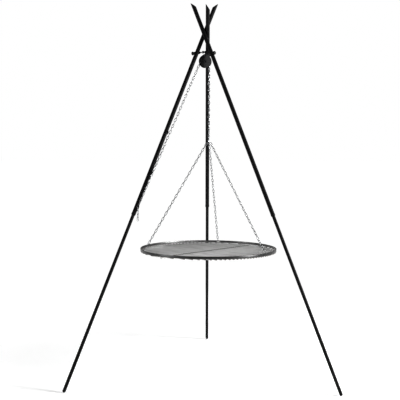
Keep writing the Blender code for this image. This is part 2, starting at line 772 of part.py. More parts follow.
def swivel(body, material):
    """Stem turning in the hub plate, with a lug above for the chain and a head below."""
    plate = HUB_PLATE_THICKNESS / 2 + CLEARANCE
    stem = SWIVEL_STEM_DIAMETER / 2
    head = SWIVEL_HEAD_DIAMETER / 2
    collar = SWIVEL_COLLAR_DIAMETER / 2
    waist = stem * SWIVEL_NECK_WAIST
    outline = [
        (0, -plate - SWIVEL_HEAD_HEIGHT),
        (head * HEAD_CROWN, -plate - SWIVEL_HEAD_HEIGHT),
        (head, -plate - SWIVEL_HEAD_HEIGHT * HEAD_SHOULDER),
        (head, -plate),
        (stem, -plate),
        (stem, plate),
        (collar, plate),
        (collar, plate + SWIVEL_NECK * HEAD_SHOULDER),
        (waist, plate + SWIVEL_NECK * SWIVEL_NECK_END),
        (waist, plate + SWIVEL_NECK + SWIVEL_WELD),
        (0, plate + SWIVEL_NECK + SWIVEL_WELD),
    ]
    stem_bm = turned(outline, TUBE_SIDES)
    item = add_object("Hub_Swivel", stem_bm, Matrix.Translation(HUB_CENTRE), material, body)
    lug_centre = HUB_CENTRE + UP * LUG_HOLE_HEIGHT
    frame = place(lug_centre, PULLEY_ACROSS, PULLEY_ALONG)
    half = SWIVEL_LUG_THICKNESS / 2
    lug_bm = prism(circle(SWIVEL_LUG_RADIUS, TUBE_SIDES), -half, half)
    lug = add_object("Guide_Swivel_Lug", lug_bm, frame, material, body)
    hole_bm = cylinder(SWIVEL_LUG_HOLE, -3 * half, 3 * half, TUBE_SIDES)
    hole = add_object("Guide_Swivel_Hole", hole_bm, frame, material, body)
    combine(item, lug, "UNION")
    combine(item, hole)
    return item


def hub_plate(body, material):
    """Round plate with a middle bore for the swivel and one hole for each grate chain."""
    outer = HUB_WEB_RADIUS + HUB_WEB / 2
    bore = bore_radius(SWIVEL_STEM_DIAMETER, PLATE_SIDES)
    half = HUB_PLATE_THICKNESS / 2
    outline = [(bore, -half), (outer, -half), (outer, half), (bore, half)]
    frame = Matrix.Translation(HUB_CENTRE)
    item = add_object("Hub_Plate", turned(outline, PLATE_SIDES, True), frame, material, body)
    hole_radius = HUB_WEB_RADIUS - HUB_WEB / 2 - HUB_CHAIN_HOLE / 2
    for name, azimuth in CHAIN_AZIMUTHS.items():
        centre = HUB_CENTRE + horizontal(azimuth) * hole_radius
        hole_bm = cylinder(HUB_CHAIN_HOLE, -2 * half, 2 * half, SMALL_SIDES)
        hole_frame = Matrix.Translation(centre)
        hole = add_object(f"Guide_Hub_Hole_{name}", hole_bm, hole_frame, material, body)
        combine(item, hole)
    return item


GRATE_RADIUS = GRATE_DIAMETER / 2
ROD_TOP = RIM_TOP - RIM_HEIGHT - CLEARANCE
GRATE_AXIS = Vector((MAIN_TOP.x, MAIN_TOP.y, 0))


def grate_rim(body, material):
    """Flat band standing on edge, rolled to a ring."""
    inner = GRATE_RADIUS - RIM_THICKNESS
    low = RIM_TOP - RIM_HEIGHT
    outline = [(inner, low), (GRATE_RADIUS, low), (GRATE_RADIUS, RIM_TOP), (inner, RIM_TOP)]
    frame = Matrix.Translation(GRATE_AXIS)
    return add_object("Grate_Rim", turned(outline, RIM_SEGMENTS, True), frame, material, body)


def grate_rods(body, material):
    """Parallel rods under the rim, each cut to its chord, welded across one support bar."""
    reach = GRATE_RADIUS - ROD_END_INSET
    radius = ROD_DIAMETER / 2
    side_count = floor((reach - 2 * ROD_DIAMETER) / ROD_PITCH)
    section = circle(radius / cos(pi / BAR_SIDES), BAR_SIDES)
    bm = bmesh.new()
    for index in range(-side_count, side_count + 1):
        offset = index * ROD_PITCH
        half = sqrt(reach * reach - (abs(offset) + radius) ** 2)
        path = [Vector((-half, offset)), Vector((half, offset))]
        add_bar(bm, path, section)
    frame = place(GRATE_AXIS + UP * (ROD_TOP - radius), UP, horizontal(ROD_AZIMUTH))
    item = add_object("Grate_Rods", bm, frame, material, body)
    half_support = sqrt(reach * reach - (SUPPORT_WIDTH / 2) ** 2)
    top = -radius + SUPPORT_WELD
    outline = [
        (-SUPPORT_WIDTH / 2, -half_support),
        (SUPPORT_WIDTH / 2, -half_support),
        (SUPPORT_WIDTH / 2, half_support),
        (-SUPPORT_WIDTH / 2, half_support),
    ]
    support_bm = prism(outline, top - SUPPORT_HEIGHT, top)
    support = add_object("Guide_Support_Bar", support_bm, frame, material, body)
    combine(item, support, "UNION")
    return item


def band_inside(azimuth):
    """Distance from the grate's axis to the band's inner face, which is rolled in flat facets."""
    facet = 2 * pi / RIM_SEGMENTS
    from_middle = azimuth % facet - facet / 2
    return (GRATE_RADIUS - RIM_THICKNESS) * cos(facet / 2) / cos(from_middle)


def rim_eye_face(azimuth):
    """Distance from the grate's axis to the ends of a rim eye, just clear of the band."""
    spread = atan(RIM_EYE_WIDTH / 2 / GRATE_RADIUS)
    ends = [band_inside(azimuth + side * spread) * cos(spread) for side in (-1, 1)]
    return min(ends) - CLEARANCE


def rim_eye(name, azimuth, body, material):
    """Bow of round bar welded to the inside of the rim, level, for a hook."""
    face = rim_eye_face(azimuth)
    half = (RIM_EYE_WIDTH - RIM_EYE_WIRE) / 2
    corner = RIM_EYE_WIRE
    path = [
        (face, -half),
        (face - RIM_EYE_REACH + corner, -half),
        (face - RIM_EYE_REACH, -half + corner),
        (face - RIM_EYE_REACH, half - corner),
        (face - RIM_EYE_REACH + corner, half),
        (face, half),
    ]
    frame = place(GRATE_AXIS + UP * (RIM_TOP - RIM_EYE_DROP), UP, horizontal(azimuth))
    return add_object(f"Rim_Eye_{name}", bar(path, RIM_EYE_WIRE), frame, material, body)


class GrateChain:
    """Line of one grate chain, from the hub plate's web to the hook in the rim's eye."""

    def __init__(self, name):
        self.name = name
        self.azimuth = CHAIN_AZIMUTHS[name]
        outward = horizontal(self.azimuth)
        eye_radius = rim_eye_face(self.azimuth) - RIM_EYE_REACH
        self.eye = GRATE_AXIS + outward * eye_radius + UP * (RIM_TOP - RIM_EYE_DROP)
        self.web = HUB_CENTRE + outward * HUB_WEB_RADIUS
        self.along = (self.eye - self.web).normalized()
        self.sideways = UP.cross(outward)
        lean = acos(-self.along.z)
        web_reach = (HUB_WEB * sin(lean) + HUB_PLATE_THICKNESS * cos(lean)) / 2
        self.top = self.web - self.along * (web_reach + CLEARANCE)
        self.lower_bend = (RIM_EYE_WIRE + S_HOOK_WIRE) / 2 + CLEARANCE
        self.upper_bend = (CHAIN_WIRE * sqrt(2) + S_HOOK_WIRE) / 2 + CLEARANCE
        self.link_seat = S_HOOK_LENGTH - self.upper_bend
        self.bottom = self.eye - self.along * (self.link_seat + (CHAIN_WIRE + LINK_PLAY) / 2)


def grate_chain(line, body, material):
    """Chain from the hub to the hook; its first link lies round the plate's web."""
    points = strand(line.top, line.bottom)
    normals = link_normals(points, line.sideways, line.sideways.cross(line.along))
    return add_object(f"Grate_Chain_{line.name}", chain(points, normals), Matrix(), material, body)


def s_hook(line, body, material):
    """Hook bent from round wire: its lower bend under the rim's eye, its upper one in the chain."""
    lower = arc((0, 0), line.lower_bend, radians(20), radians(-180), 6)
    upper = arc((0, line.link_seat), line.upper_bend, radians(180), radians(-20), 6)
    across = horizontal(line.azimuth).cross(line.along)
    frame = place(line.eye, across, across.cross(line.along))
    bm = bar(lower + upper, S_HOOK_WIRE)
    return add_object(f"Grate_Hook_{line.name}", bm, frame, material, body)


def build():
    clear_scene()
    coat = make_material("Black coated steel", (0.012, 0.012, 0.013), 0.42, 0.0)
    plastic = make_material("Black plastic", (0.015, 0.015, 0.015), 0.5, 0.0)
    zinc = make_material("Zinc plated steel", (0.62, 0.63, 0.64), 0.32, 1.0)
    raw = make_material("Raw steel", (0.30, 0.30, 0.31), 0.45, 1.0)
    legs = {name: Leg(name) for name in LEG_AZIMUTHS}
    ring_centre = AXIS + UP * RING_HEIGHT
    head = Body("Head", ring_centre)
    head_ring(head, coat)
    pin_hole = hanger(head, coat)[1]
    axle_reach = 2 * CHEEK_OUTER
    axle_bm = cylinder(2 * bore_radius(AXLE_DIAMETER, TUBE_SIDES), -axle_reach, axle_reach)
    axle_hole = add_object("Guide_Axle_Hole", axle_bm, PULLEY_FRAME, coat, head)
    cheek(1, head, coat, pin_hole, axle_hole)
    cheek(-1, head, coat, pin_hole, axle_hole)
    rivet("Pulley_Pin", PIN_HEIGHT, HANGER_PIN_DIAMETER, RIVET_HEAD_DIAMETER, head, coat)
    rivet("Pulley_Axle", 0, AXLE_DIAMETER, AXLE_HEAD_DIAMETER, head, coat)
    wheel = Body("Sheave_Joint", SHEAVE_CENTRE, head)
    sheave(wheel, coat)

    for leg in legs.values():
        upper = Body(f"{leg.name}_Leg_Joint", leg.ring_point, head)
        lower = Body(f"{leg.name}_Plug_Joint", leg.point(leg.joint), upper)
        upper_tube(leg, upper, coat, bolt_hole_cutter(leg, upper, coat))
        lower_tube(leg, lower, coat)
        foot_plug(leg, lower, plastic)
        eye_bolt(leg, upper, coat)
        outline_guide = tube_cutter(leg, upper, coat)
        outward = leg.bolt_along
        saddle(leg, "Outer_Saddle", OUTER_SADDLE_REACH, outward, upper, plastic, outline_guide)
        saddle(leg, "Inner_Saddle", INNER_SADDLE_REACH, -outward, upper, plastic, outline_guide)
        inner_nut(leg, upper, coat)
        cap_nut(leg, upper, plastic)
        if leg.name == "Left":
            left_body = upper

    left = legs["Left"]
    hook_rises = (UPPER_HOOK_RISE, MIDDLE_HOOK_RISE, LOWER_HOOK_RISE)
    for index, rise in enumerate(hook_rises, start=1):
        chain_hook(left, index, left.joint + rise, left_body, coat)
    frame = hook_frame(left, left.joint + LOWER_HOOK_RISE)
    hook_centre = frame @ Vector((HOOK_CHAIN_REACH, 0, 0))
    over_sheave = sheave_points(hook_centre)
    pull = (hook_centre - over_sheave[-1]).normalized()
    tail_top = hook_centre + pull * (HOOK_ROD / 2 + CLEARANCE + CHAIN_WIRE + LINK_PLAY / 2)
    chain_end = tail_top + pull * TAIL_PLAY
    hook_outward = left.square(horizontal(HOOK_AZIMUTH))
    wire_seat = sqrt((SWIVEL_LUG_HOLE / 2 * cos(pi / TUBE_SIDES)) ** 2 - (CHAIN_WIRE / 2) ** 2)
    main_end = HUB_CENTRE + UP * (LUG_HOLE_HEIGHT + wire_seat - CLEARANCE + LINK_PLAY / 2)
    main_points = strand(main_end, MAIN_TOP)
    leg_points = strand(over_sheave[-1] - pull * RUN_PLAY, chain_end)
    askew = (PULLEY_ALONG - PULLEY_ACROSS).normalized()
    main_normals = link_normals(main_points, PULLEY_ALONG, askew)
    sheave_normals = link_normals(main_points[-2:-1] + over_sheave, main_normals[-1])[1:]
    onward = over_sheave[-2:-1] + leg_points
    leg_normals = link_normals(onward, sheave_normals[-1], hook_outward)[1:]

    add_object("Chain_Over_Sheave", chain(over_sheave, sheave_normals), Matrix(), zinc, head)
    add_object("Height_Chain_Leg_Side", chain(leg_points, leg_normals), Matrix(), zinc, left_body)
    tail = Body("Tail_Joint", tail_top, left_body)
    tail_points = [tail_top - UP * CHAIN_PITCH * index for index in range(TAIL_LINKS + 1)]
    tail_normals = link_normals(tail_points, UP.cross(hook_outward))
    add_object("Height_Chain_Tail", chain(tail_points, tail_normals), Matrix(), zinc, tail)
    swing_side = Body("Swing_Side_Joint", MAIN_TOP, head)
    swing_points = [main_points[-2], main_points[-1] + UP * RUN_PLAY]
    swing_link = chain(swing_points, main_normals[-1:])
    add_object("Swing_Link", swing_link, Matrix(), zinc, swing_side)
    swing_fore = Body("Swing_Fore_Joint", main_points[-2], swing_side)
    main_chain = chain(main_points[:-1], main_normals)
    add_object("Height_Chain_Main", main_chain, Matrix(), zinc, swing_fore)
    lift = Body("Lift_Joint", HUB_CENTRE, swing_fore)
    swivel(lift, zinc)
    turn = Body("Turn_Joint", HUB_CENTRE, lift)
    hub_plate(turn, zinc)
    grate_rim(turn, raw)
    grate_rods(turn, raw)
    for name in CHAIN_AZIMUTHS:
        line = GrateChain(name)
        rim_eye(name, line.azimuth, turn, raw)
        s_hook(line, turn, zinc)
        grate_chain(line, turn, zinc)


build()
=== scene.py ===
"""Tripod grill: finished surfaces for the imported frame. Metres, +Z up, feet on Z = 0."""
import json
from math import acos, asin, cos, floor, pi, radians, sin, sqrt, tan

import bmesh
import bpy
import numpy as np
from bpy.props import FloatProperty, FloatVectorProperty, IntProperty, PointerProperty
from mathutils import Matrix, Vector


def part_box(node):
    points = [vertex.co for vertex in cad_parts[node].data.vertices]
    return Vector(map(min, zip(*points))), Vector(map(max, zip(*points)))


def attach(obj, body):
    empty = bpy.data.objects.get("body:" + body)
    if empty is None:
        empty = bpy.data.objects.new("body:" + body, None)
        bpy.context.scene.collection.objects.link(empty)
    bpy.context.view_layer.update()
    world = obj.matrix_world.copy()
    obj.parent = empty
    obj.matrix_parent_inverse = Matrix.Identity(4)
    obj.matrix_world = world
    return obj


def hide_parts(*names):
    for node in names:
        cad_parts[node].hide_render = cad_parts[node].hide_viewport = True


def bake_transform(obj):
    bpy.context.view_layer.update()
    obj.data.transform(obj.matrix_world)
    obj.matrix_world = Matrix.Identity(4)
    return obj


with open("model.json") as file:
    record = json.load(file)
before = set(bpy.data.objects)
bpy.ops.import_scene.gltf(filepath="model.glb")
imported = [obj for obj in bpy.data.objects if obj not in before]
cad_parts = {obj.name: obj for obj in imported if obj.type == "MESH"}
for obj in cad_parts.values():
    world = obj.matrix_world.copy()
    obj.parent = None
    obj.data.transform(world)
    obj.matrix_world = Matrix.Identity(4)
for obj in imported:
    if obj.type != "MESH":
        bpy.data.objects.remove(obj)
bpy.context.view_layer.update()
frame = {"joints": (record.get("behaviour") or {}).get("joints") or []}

bl_info = {
    "name": "Tripod grill",
    "version": (1, 0, 0),
    "blender": (4, 5, 0),
    "location": "3D View > Sidebar > Grill",
    "description": "Builds the finished surfaces of a tripod grill round its packed frame",
    "category": "Object",
}

UP = Vector((0, 0, 1))
CLEARANCE = 0.0003
IMAGE_WIDTH = 400
LEG_NAMES = ("Left", "Right", "Rear")
TIP_POINT_AZIMUTHS = {"Left": radians(30), "Right": radians(150), "Rear": radians(195)}
CHAIN_AZIMUTHS = {"Rear": radians(81), "Left": radians(195.5), "Right": radians(327.5)}
JOINTS = {joint["name"]: joint for joint in frame["joints"]}


def joint_point(name):
    return Vector(JOINTS[name]["pos_m"])


def joint_axis(name):
    return Vector(JOINTS[name]["axis"]).normalized()


# Properties

def length(name, description, default):
    """A size in metres."""
    return FloatProperty(
        name=name, description=description, default=default, min=0.0, unit="LENGTH", precision=5
    )


def angle(name, description, default):
    return FloatProperty(name=name, description=description, default=default, subtype="ANGLE")


def colour(name, description, default):
    return FloatVectorProperty(
        name=name, description=description, default=default, subtype="COLOR", min=0.0, max=1.0
    )


class LegSizes(bpy.types.PropertyGroup):
    front_tip: length("Front tips", "How far the front legs go on past their bolts", 0.282)
    rear_tip: length("Rear tip", "How far the rear leg goes on past its bolt", 0.259)
    shown: length("Lower tube shown", "Length of the lower tube below its socket", 0.913)
    socket: length("Socket depth", "How far the lower tube goes into the upper one", 0.080)
    upper: length("Upper tube", "Outer diameter of the upper tube", 0.020)
    lower: length("Lower tube", "Outer diameter of the lower tube", 0.016)
    wall: length("Tube wall", "Wall of both tubes", 0.0015)
    bead: length("Mouth bead", "How far the socket's mouth stands proud", 0.0006)
    bead_length: length("Bead length", "Length of the socket's mouth bead", 0.010)
    stop_bore: length("Stop bore", "Bore of the stop ring in the socket", 0.013)
    stop_length: length("Stop length", "Length of the stop ring", 0.005)
    tip_cut: angle("Tip cut", "Angle between the slanting cut and the tube", radians(33))
    plug_depth: length("Plug depth", "How far the foot plug goes into the tube", 0.014)


class BoltSizes(bpy.types.PropertyGroup):
    drop: length("Bolt drop", "How far a bolt falls from the ring to its tube", 0.005)
    bolt: length("Bolt", "Diameter of the eye bolts", 0.0042)
    eye: length("Eye radius", "Middle radius of a bolt's eye", 0.0046)
    eye_gap: angle("Eye gap", "Half the opening of a bolt's eye", radians(50))
    saddle: length("Saddle", "Diameter of the saddle washers", 0.014)
    outer_reach: length("Outer saddle", "Outer saddle's face from the tube's axis", 0.0179)
    inner_reach: length("Inner saddle", "Inner saddle's face from the tube's axis", 0.0150)
    nut_width: length("Nut width", "Inner nut across its flats", 0.0085)
    nut_height: length("Nut height", "Height of the inner nut", 0.0042)
    cap: length("Cap nut", "Diameter of the domed cap nut", 0.018)
    cap_length: length("Cap nut length", "Length of the domed cap nut", 0.0098)
    cap_hole: length("Cap nut hole", "Depth of the blind hole", 0.006)


class PulleySizes(bpy.types.PropertyGroup):
    ring: length("Ring radius", "Middle radius of the head ring", 0.012)
    ring_wire: length("Ring wire", "Wire of the head ring", 0.004)
    drop: length("Sheave drop", "Sheave axis below the ring", 0.0465)
    line: length("Chain line", "Radius of the chain's line on the sheave", 0.0235)
    sheave: length("Sheave", "Outer diameter of the sheave", 0.053)
    groove: length("Groove", "Diameter at the groove's floor", 0.0329)
    groove_width: length("Groove width", "Width between the sheave's flanges", 0.0112)
    groove_corner: FloatProperty(
        name="Groove corner", description="Rise of the groove's round as a share of its half width",
        default=0.4, min=0, max=1,
    )
    flange: length("Flange", "Thickness of a flange", 0.001)
    side_play: length("Side play", "Gap between sheave and cheek", 0.0005)
    cheek: length("Cheek radius", "Radius of a cheek's large round", 0.032)
    cheek_plate: length("Cheek plate", "Thickness of a cheek", 0.0028)
    cheek_top: length("Cheek top", "Radius of a cheek's small round", 0.005)
    pin_drop: length("Pin drop", "Hanger's pin below the ring", 0.0135)
    pin: length("Pin", "Diameter of the hanger's pin", 0.004)
    pin_head: length("Pin head", "Diameter of the pin's heads", 0.008)
    lug: length("Lug radius", "Radius of the hanger's lug", 0.0042)
    lug_plate: length("Lug plate", "Thickness of the hanger's lug", 0.0045)
    bar: length("Hanger bar", "Diameter of the bar on the ring", 0.004)
    bar_length: length("Bar length", "Length of the bar on the ring", 0.032)
    bar_turn: angle("Bar turn", "Turn of the bar from the pulley's plane", radians(75))
    azimuth: angle("Pulley azimuth", "Direction of the pulley's plane", radians(30))
    axle: length("Axle", "Diameter of the axle", 0.008)
    axle_head: length("Axle head", "Diameter of the axle's heads", 0.014)
    head_height: length("Head height", "Height of the rivet heads", 0.0015)


class ChainSizes(bpy.types.PropertyGroup):
    pitch: length("Pitch", "Inner length of a link", 0.0168)
    wire: length("Wire", "Diameter of the link wire", 0.0027)
    width: length("Width", "Outer width of a link", 0.0108)
    play: length("Play", "Slack in each link", 0.0004)
    run_play: length("Run play", "Extra slack where two runs meet", 0.0003)
    tail_play: length("Tail play", "Extra slack at the top of the tail", 0.0007)
    tail_links: IntProperty(name="Tail links", description="Links below the hook", default=4)
    hook_rod: length("Hook rod", "Diameter of the leg hooks' rod", 0.004)
    hook_reach: length("Hook reach", "How far a leg hook stands out", 0.024)
    hook_chain: length("Chain seat", "Chain's distance from the leg's axis", 0.016)
    hook_finger: length("Hook finger", "Length of a hook's finger", 0.016)
    hook_bend: length("Hook bend", "Middle radius of a hook's bend", 0.003)
    hook_azimuth: angle("Hook azimuth", "Side of the leg that the hooks are on", radians(-56))
    hook_upper: length("Upper hook", "Upper hook above the socket's mouth", 0.449)
    hook_middle: length("Middle hook", "Middle hook above the socket's mouth", 0.232)
    hook_lower: length("Lower hook", "Lower hook above the socket's mouth", 0.047)


class HubSizes(bpy.types.PropertyGroup):
    plate: length("Plate", "Thickness of the hub plate", 0.0025)
    web_radius: length("Web radius", "Middle radius of the plate's outer web", 0.0115)
    web: length("Web", "Width of the plate's outer web", 0.0022)
    hole: length("Chain hole", "Diameter of a chain's hole", 0.0054)
    stem: length("Stem", "Diameter of the swivel's stem", 0.005)
    collar: length("Collar", "Diameter of the swivel's collar", 0.0084)
    head: length("Head", "Diameter of the swivel's head", 0.0095)
    head_height: length("Head height", "Height of the swivel's head", 0.0025)
    lug: length("Lug radius", "Radius of the swivel's lug", 0.0055)
    lug_hole: length("Lug hole", "Diameter of the swivel's hole", 0.0052)
    lug_plate: length("Lug plate", "Thickness of the swivel's lug", 0.0026)
    neck: length("Neck", "Length between collar and lug", 0.004)


class GrateSizes(bpy.types.PropertyGroup):
    diameter: length("Grate", "Outer diameter of the rim", 0.700)
    facets: IntProperty(name="Facets", description="Flat facets of the packed rim", default=48)
    rim_top: length("Rim top", "Height of the rim's upper edge", 0.6515)
    rim_height: length("Rim height", "Height of the rim's band", 0.013)
    rim_plate: length("Rim plate", "Thickness of the rim's band", 0.003)
    rod: length("Rod", "Diameter of a rod", 0.005)
    rod_pitch: length("Rod pitch", "Distance from rod to rod", 0.0178)
    rod_azimuth: angle("Rod azimuth", "Direction of the rods", radians(138.5))
    rod_inset: length("Rod inset", "Rod ends inside the rim's outer face", 0.0006)
    support_width: length("Support width", "Width of the support bar", 0.008)
    support_height: length("Support height", "Height of the support bar", 0.006)
    support_weld: length("Support weld", "How far the rods sink into the bar", 0.0008)
    eye_wire: length("Rim eye wire", "Rod of the rim's eyes", 0.004)
    eye_width: length("Rim eye width", "Outer width of a rim eye", 0.016)
    eye_reach: length("Rim eye reach", "How far a rim eye stands in", 0.011)
    eye_drop: length("Rim eye drop", "Rim eye below the rim's upper edge", 0.005)
    hook_wire: length("Hook wire", "Wire of the grate hooks", 0.0032)
    hook_length: length("Hook length", "Length of the grate hooks", 0.024)


class Finishes(bpy.types.PropertyGroup):
    coat: colour("Black coat", "Satin coat of the legs", (0.0050, 0.0050, 0.0052))
    coat_worn: colour("Coat, dusty", "Coat where dust has settled", (0.0105, 0.0105, 0.0110))
    plastic: colour("Black plastic", "Moulded caps", (0.0050, 0.0050, 0.0050))
    plastic_worn: colour("Plastic, scuffed", "Scuffed plastic", (0.011, 0.011, 0.011))
    zinc: colour("Zinc", "Bright zinc on the chains", (0.35, 0.356, 0.362))
    zinc_dull: colour("Zinc, dulled", "Zinc in its duller patches", (0.20, 0.204, 0.210))
    rod: colour("Rod steel", "Bare steel of the rods", (0.97, 0.97, 0.965))
    rod_dark: colour("Rod scale", "Mill scale on the rods", (0.72, 0.718, 0.71))
    band: colour("Band steel", "Bare steel inside the rim", (0.22, 0.22, 0.22))
    band_dark: colour("Band scale", "Mill scale on the rim", (0.11, 0.11, 0.11))
    # Painted shade: the rim's outer face is the same steel as its inside, darkened to stand in for
    # the dim light that falls on its front.
    band_outside_painted_shade: colour("Band outside", "Darker outer face of the rim", (0.030, 0.030, 0.030))
    weld: colour("Weld", "Weld metal", (0.14, 0.13, 0.125))
    tint: colour("Heat tint", "Colour of steel that a weld has heated", (0.085, 0.071, 0.064))
    floor: colour("Floor", "Studio floor", (0.86, 0.86, 0.86))


# Surfaces

POLE_CAP = 0.16


def placed(origin, axis, hint):
    """Axes at origin with Z along the axis and X along the part of the hint square to it."""
    z = Vector(axis).normalized()
    x = Vector(hint) - z * Vector(hint).dot(z)
    x.normalize()
    return np.array(origin, float), np.array([x, z.cross(x), z], float)


def from_local(points, axes):
    """Origin plus x, y and z times the three axes; points in a plane leave out z."""
    origin, rows = axes
    points = np.asarray(points, float)
    return origin + points @ rows[: points.shape[-1]]


def horizontal(azimuth):
    return Vector((cos(azimuth), sin(azimuth), 0))


def round_about(sides):
    return np.arange(sides) * 2 * pi / sides


def around(radius, turn, height):
    """Radius times the cosine and sine of the turn, and the height."""
    parts = np.broadcast_arrays(radius * np.cos(turn), radius * np.sin(turn), height)
    return np.stack(parts, axis=-1)


def arc(centre, radius, start, end, steps):
    """Centre plus radius times the cosine and sine of an angle that runs from start to end."""
    turn = np.linspace(start, end, steps + 1)
    return np.array(centre) + radius * np.stack([np.cos(turn), np.sin(turn)], axis=1)


def circle(centre, radius, sides):
    return arc(centre, radius, 0, 2 * pi, sides)[:-1]


def eased(outline, radius, closed=False, steps=3):
    """Each corner becomes a parabola from a point before it to a point after it, no farther off
    than the radius and under half of either side."""
    p = np.asarray(outline, float)
    curve_ends = []
    for beside in (np.roll(p, 1, axis=0) - p, np.roll(p, -1, axis=0) - p):
        length_beside = np.linalg.norm(beside, axis=1, keepdims=True)
        curve_ends.append(p + beside / length_beside * np.minimum(radius, 0.45 * length_beside))
    first, last = curve_ends
    t = np.linspace(0, 1, steps + 1)[None, :, None]
    curve = (1 - t) ** 2 * first[:, None] + 2 * t * (1 - t) * p[:, None] + t**2 * last[:, None]
    if closed:
        return curve.reshape(-1, p.shape[1])
    return np.vstack([p[:1], curve[1:-1].reshape(-1, p.shape[1]), p[-1:]])


def wall(inner, outer, low, high, soft):
    """Closed outline of a ring's wall, or of a bar: a rectangle with eased corners."""
    return eased([(inner, low), (outer, low), (outer, high), (inner, high)], soft, closed=True)


class Skin:
    """Closed surfaces gathered for one mesh, each a grid of rows and columns."""

    def __init__(self):
        self.points = []
        self.faces = []
        self.count = 0

    def add(self, points, *parts):
        """Adds a surface of quads and triangles, turned so that its signed volume is positive."""
        points = np.asarray(points, float).reshape(-1, 3)
        middle = points - points.mean(axis=0)
        volume = 0.0
        for part in parts:
            corners = middle[part]
            for step in range(1, part.shape[1] - 1):
                cross = np.cross(corners[:, step], corners[:, step + 1])
                volume += np.einsum("ij,ij->", corners[:, 0], cross)
        for part in parts:
            self.faces.append((part if volume > 0 else part[:, ::-1]) + self.count)
        self.points.append(points)
        self.count += len(points)
        return self

    def grid(self, points, closed_rows=False):
        """Joins rows of a (rows, columns, 3) grid; columns close, and open ends get a fan."""
        rows, columns = points.shape[:2]
        index = np.arange(rows * columns).reshape(rows, columns)
        if closed_rows:
            index = np.vstack([index, index[:1]])
        beside = np.roll(index, -1, axis=1)
        quads = np.stack([index[:-1], beside[:-1], beside[1:], index[1:]], axis=-1).reshape(-1, 4)
        flat = points.reshape(-1, 3)
        if closed_rows:
            return self.add(flat, quads)
        poles = np.stack([points[0].mean(axis=0), points[-1].mean(axis=0)])
        low = np.full(columns, rows * columns)
        fans = [
            np.stack([low, beside[0], index[0]], axis=1),
            np.stack([low + 1, index[-1], beside[-1]], axis=1),
        ]
        return self.add(np.vstack([flat, poles]), quads, np.vstack(fans))

    def mesh(self, name):
        """Writes the gathered points and faces as whole arrays."""
        mesh = bpy.data.meshes.new(name)
        points = np.vstack(self.points)
        loops = np.concatenate([part.ravel() for part in self.faces])
        sizes = np.concatenate([np.full(len(part), part.shape[1]) for part in self.faces])
        starts = np.concatenate([[0], np.cumsum(sizes)[:-1]])
        mesh.vertices.add(len(points))
        mesh.vertices.foreach_set("co", points.ravel().astype(np.float32))
        mesh.loops.add(len(loops))
        mesh.loops.foreach_set("vertex_index", loops.astype(np.int32))
        mesh.polygons.add(len(sizes))
        mesh.polygons.foreach_set("loop_start", starts.astype(np.int32))
        mesh.update(calc_edges=True)
        if mesh.validate():
            raise RuntimeError(f"{name} has faces that Blender can't hold")
        return mesh


def ring_surface(points, axes):
    """Surface over rows of points given in the axes, its last row joined to its first."""
    return Skin().grid(from_local(points, axes), closed_rows=True)


def lathe(outline, axes, sides=48, closed=False, skin=None):
    """Radius times the cosine and sine of the turn, and the height, for each outline point."""
    outline = np.asarray(outline, float)
    points = around(outline[:, :1], round_about(sides), outline[:, 1:2])
    return (skin or Skin()).grid(from_local(points, axes), closed)


def swept(path, normal, radius, sides=12, closed=False, skin=None):
    """A circle carried along a flat path: the path's point plus the radius times the cosine of
    the turn along the path's side and its sine along the normal. Open ends close as half balls."""
    path = np.asarray(path, float)
    normal = np.asarray(normal, float)
    if closed:
        ahead = np.roll(path, -1, axis=0) - np.roll(path, 1, axis=0)
    else:
        ahead = np.gradient(path, axis=0)
        ahead[0], ahead[-1] = path[1] - path[0], path[-1] - path[-2]
    ahead /= np.linalg.norm(ahead, axis=1, keepdims=True)
    radii = np.full(len(path), float(radius))
    if not closed:
        lean = np.radians([75, 50, 25])
        front = path[0] - ahead[0] * radius * np.sin(lean)[:, None]
        back = path[-1] + ahead[-1] * radius * np.sin(lean[::-1])[:, None]
        path = np.vstack([front, path, back])
        ahead = np.vstack([np.tile(ahead[0], (3, 1)), ahead, np.tile(ahead[-1], (3, 1))])
        radii = np.concatenate([radius * np.cos(lean), radii, radius * np.cos(lean[::-1])])
    side = np.cross(ahead, normal)
    turn = round_about(sides)[None, :, None]
    ring = np.cos(turn) * side[:, None] + np.sin(turn) * normal
    return (skin or Skin()).grid(path[:, None] + radii[:, None, None] * ring, closed)


def bent_rod(path, axes, radius, sides, closed=False, skin=None):
    """A circle carried along a path that lies in the X and Y of the axes."""
    return swept(from_local(path, axes), axes[1][2], radius, sides, closed, skin)


def flat_plate(outline, low, high, edge, axes):
    """A flat outline between two heights: each ring is the outline drawn in towards its middle
    by an inset, and the edge rings follow a quarter round."""
    outline = np.asarray(outline, float)
    middle = outline.mean(axis=0)
    away = outline - middle
    distance = np.linalg.norm(away, axis=1, keepdims=True)
    lean = np.linspace(0, pi / 2, 4)
    rise = edge * (1 - np.cos(lean))
    fall = edge * (1 - np.sin(lean))
    inset = np.concatenate([[3 * edge], fall, rise, [3 * edge]])
    height = np.concatenate([[low], low + rise, high - fall, [high]])
    rings = middle + away * (1 - inset[:, None, None] / distance)
    column = np.broadcast_to(height[:, None, None], (*rings.shape[:2], 1))
    return Skin().grid(from_local(np.concatenate([rings, column], axis=-1), axes))


def add_balls(skin, centres, half_sizes, axes, sides=8, rings=5):
    """Flattened balls at many places: ring radius the sine and height the cosine of the latitude,
    each times a half size along its axis. A small cap is left flat at both poles."""
    latitude = np.linspace(POLE_CAP, pi - POLE_CAP, rings)[:, None]
    ball = Skin().grid(around(np.sin(latitude), round_about(sides), np.cos(latitude)))
    template = np.vstack(ball.points) * half_sizes @ axes[1]
    places = from_local(centres, axes)[:, None] + template
    shift = np.arange(len(places))[:, None, None] * len(template)
    skin.add(places, *((part + shift).reshape(-1, part.shape[1]) for part in ball.faces))


# Chain

def strand(start, end, pitch):
    """Bearing points of a straight run, at the whole number of links nearest the pitch."""
    count = max(1, round((end - start).length / pitch))
    return [start.lerp(end, index / count) for index in range(count + 1)]


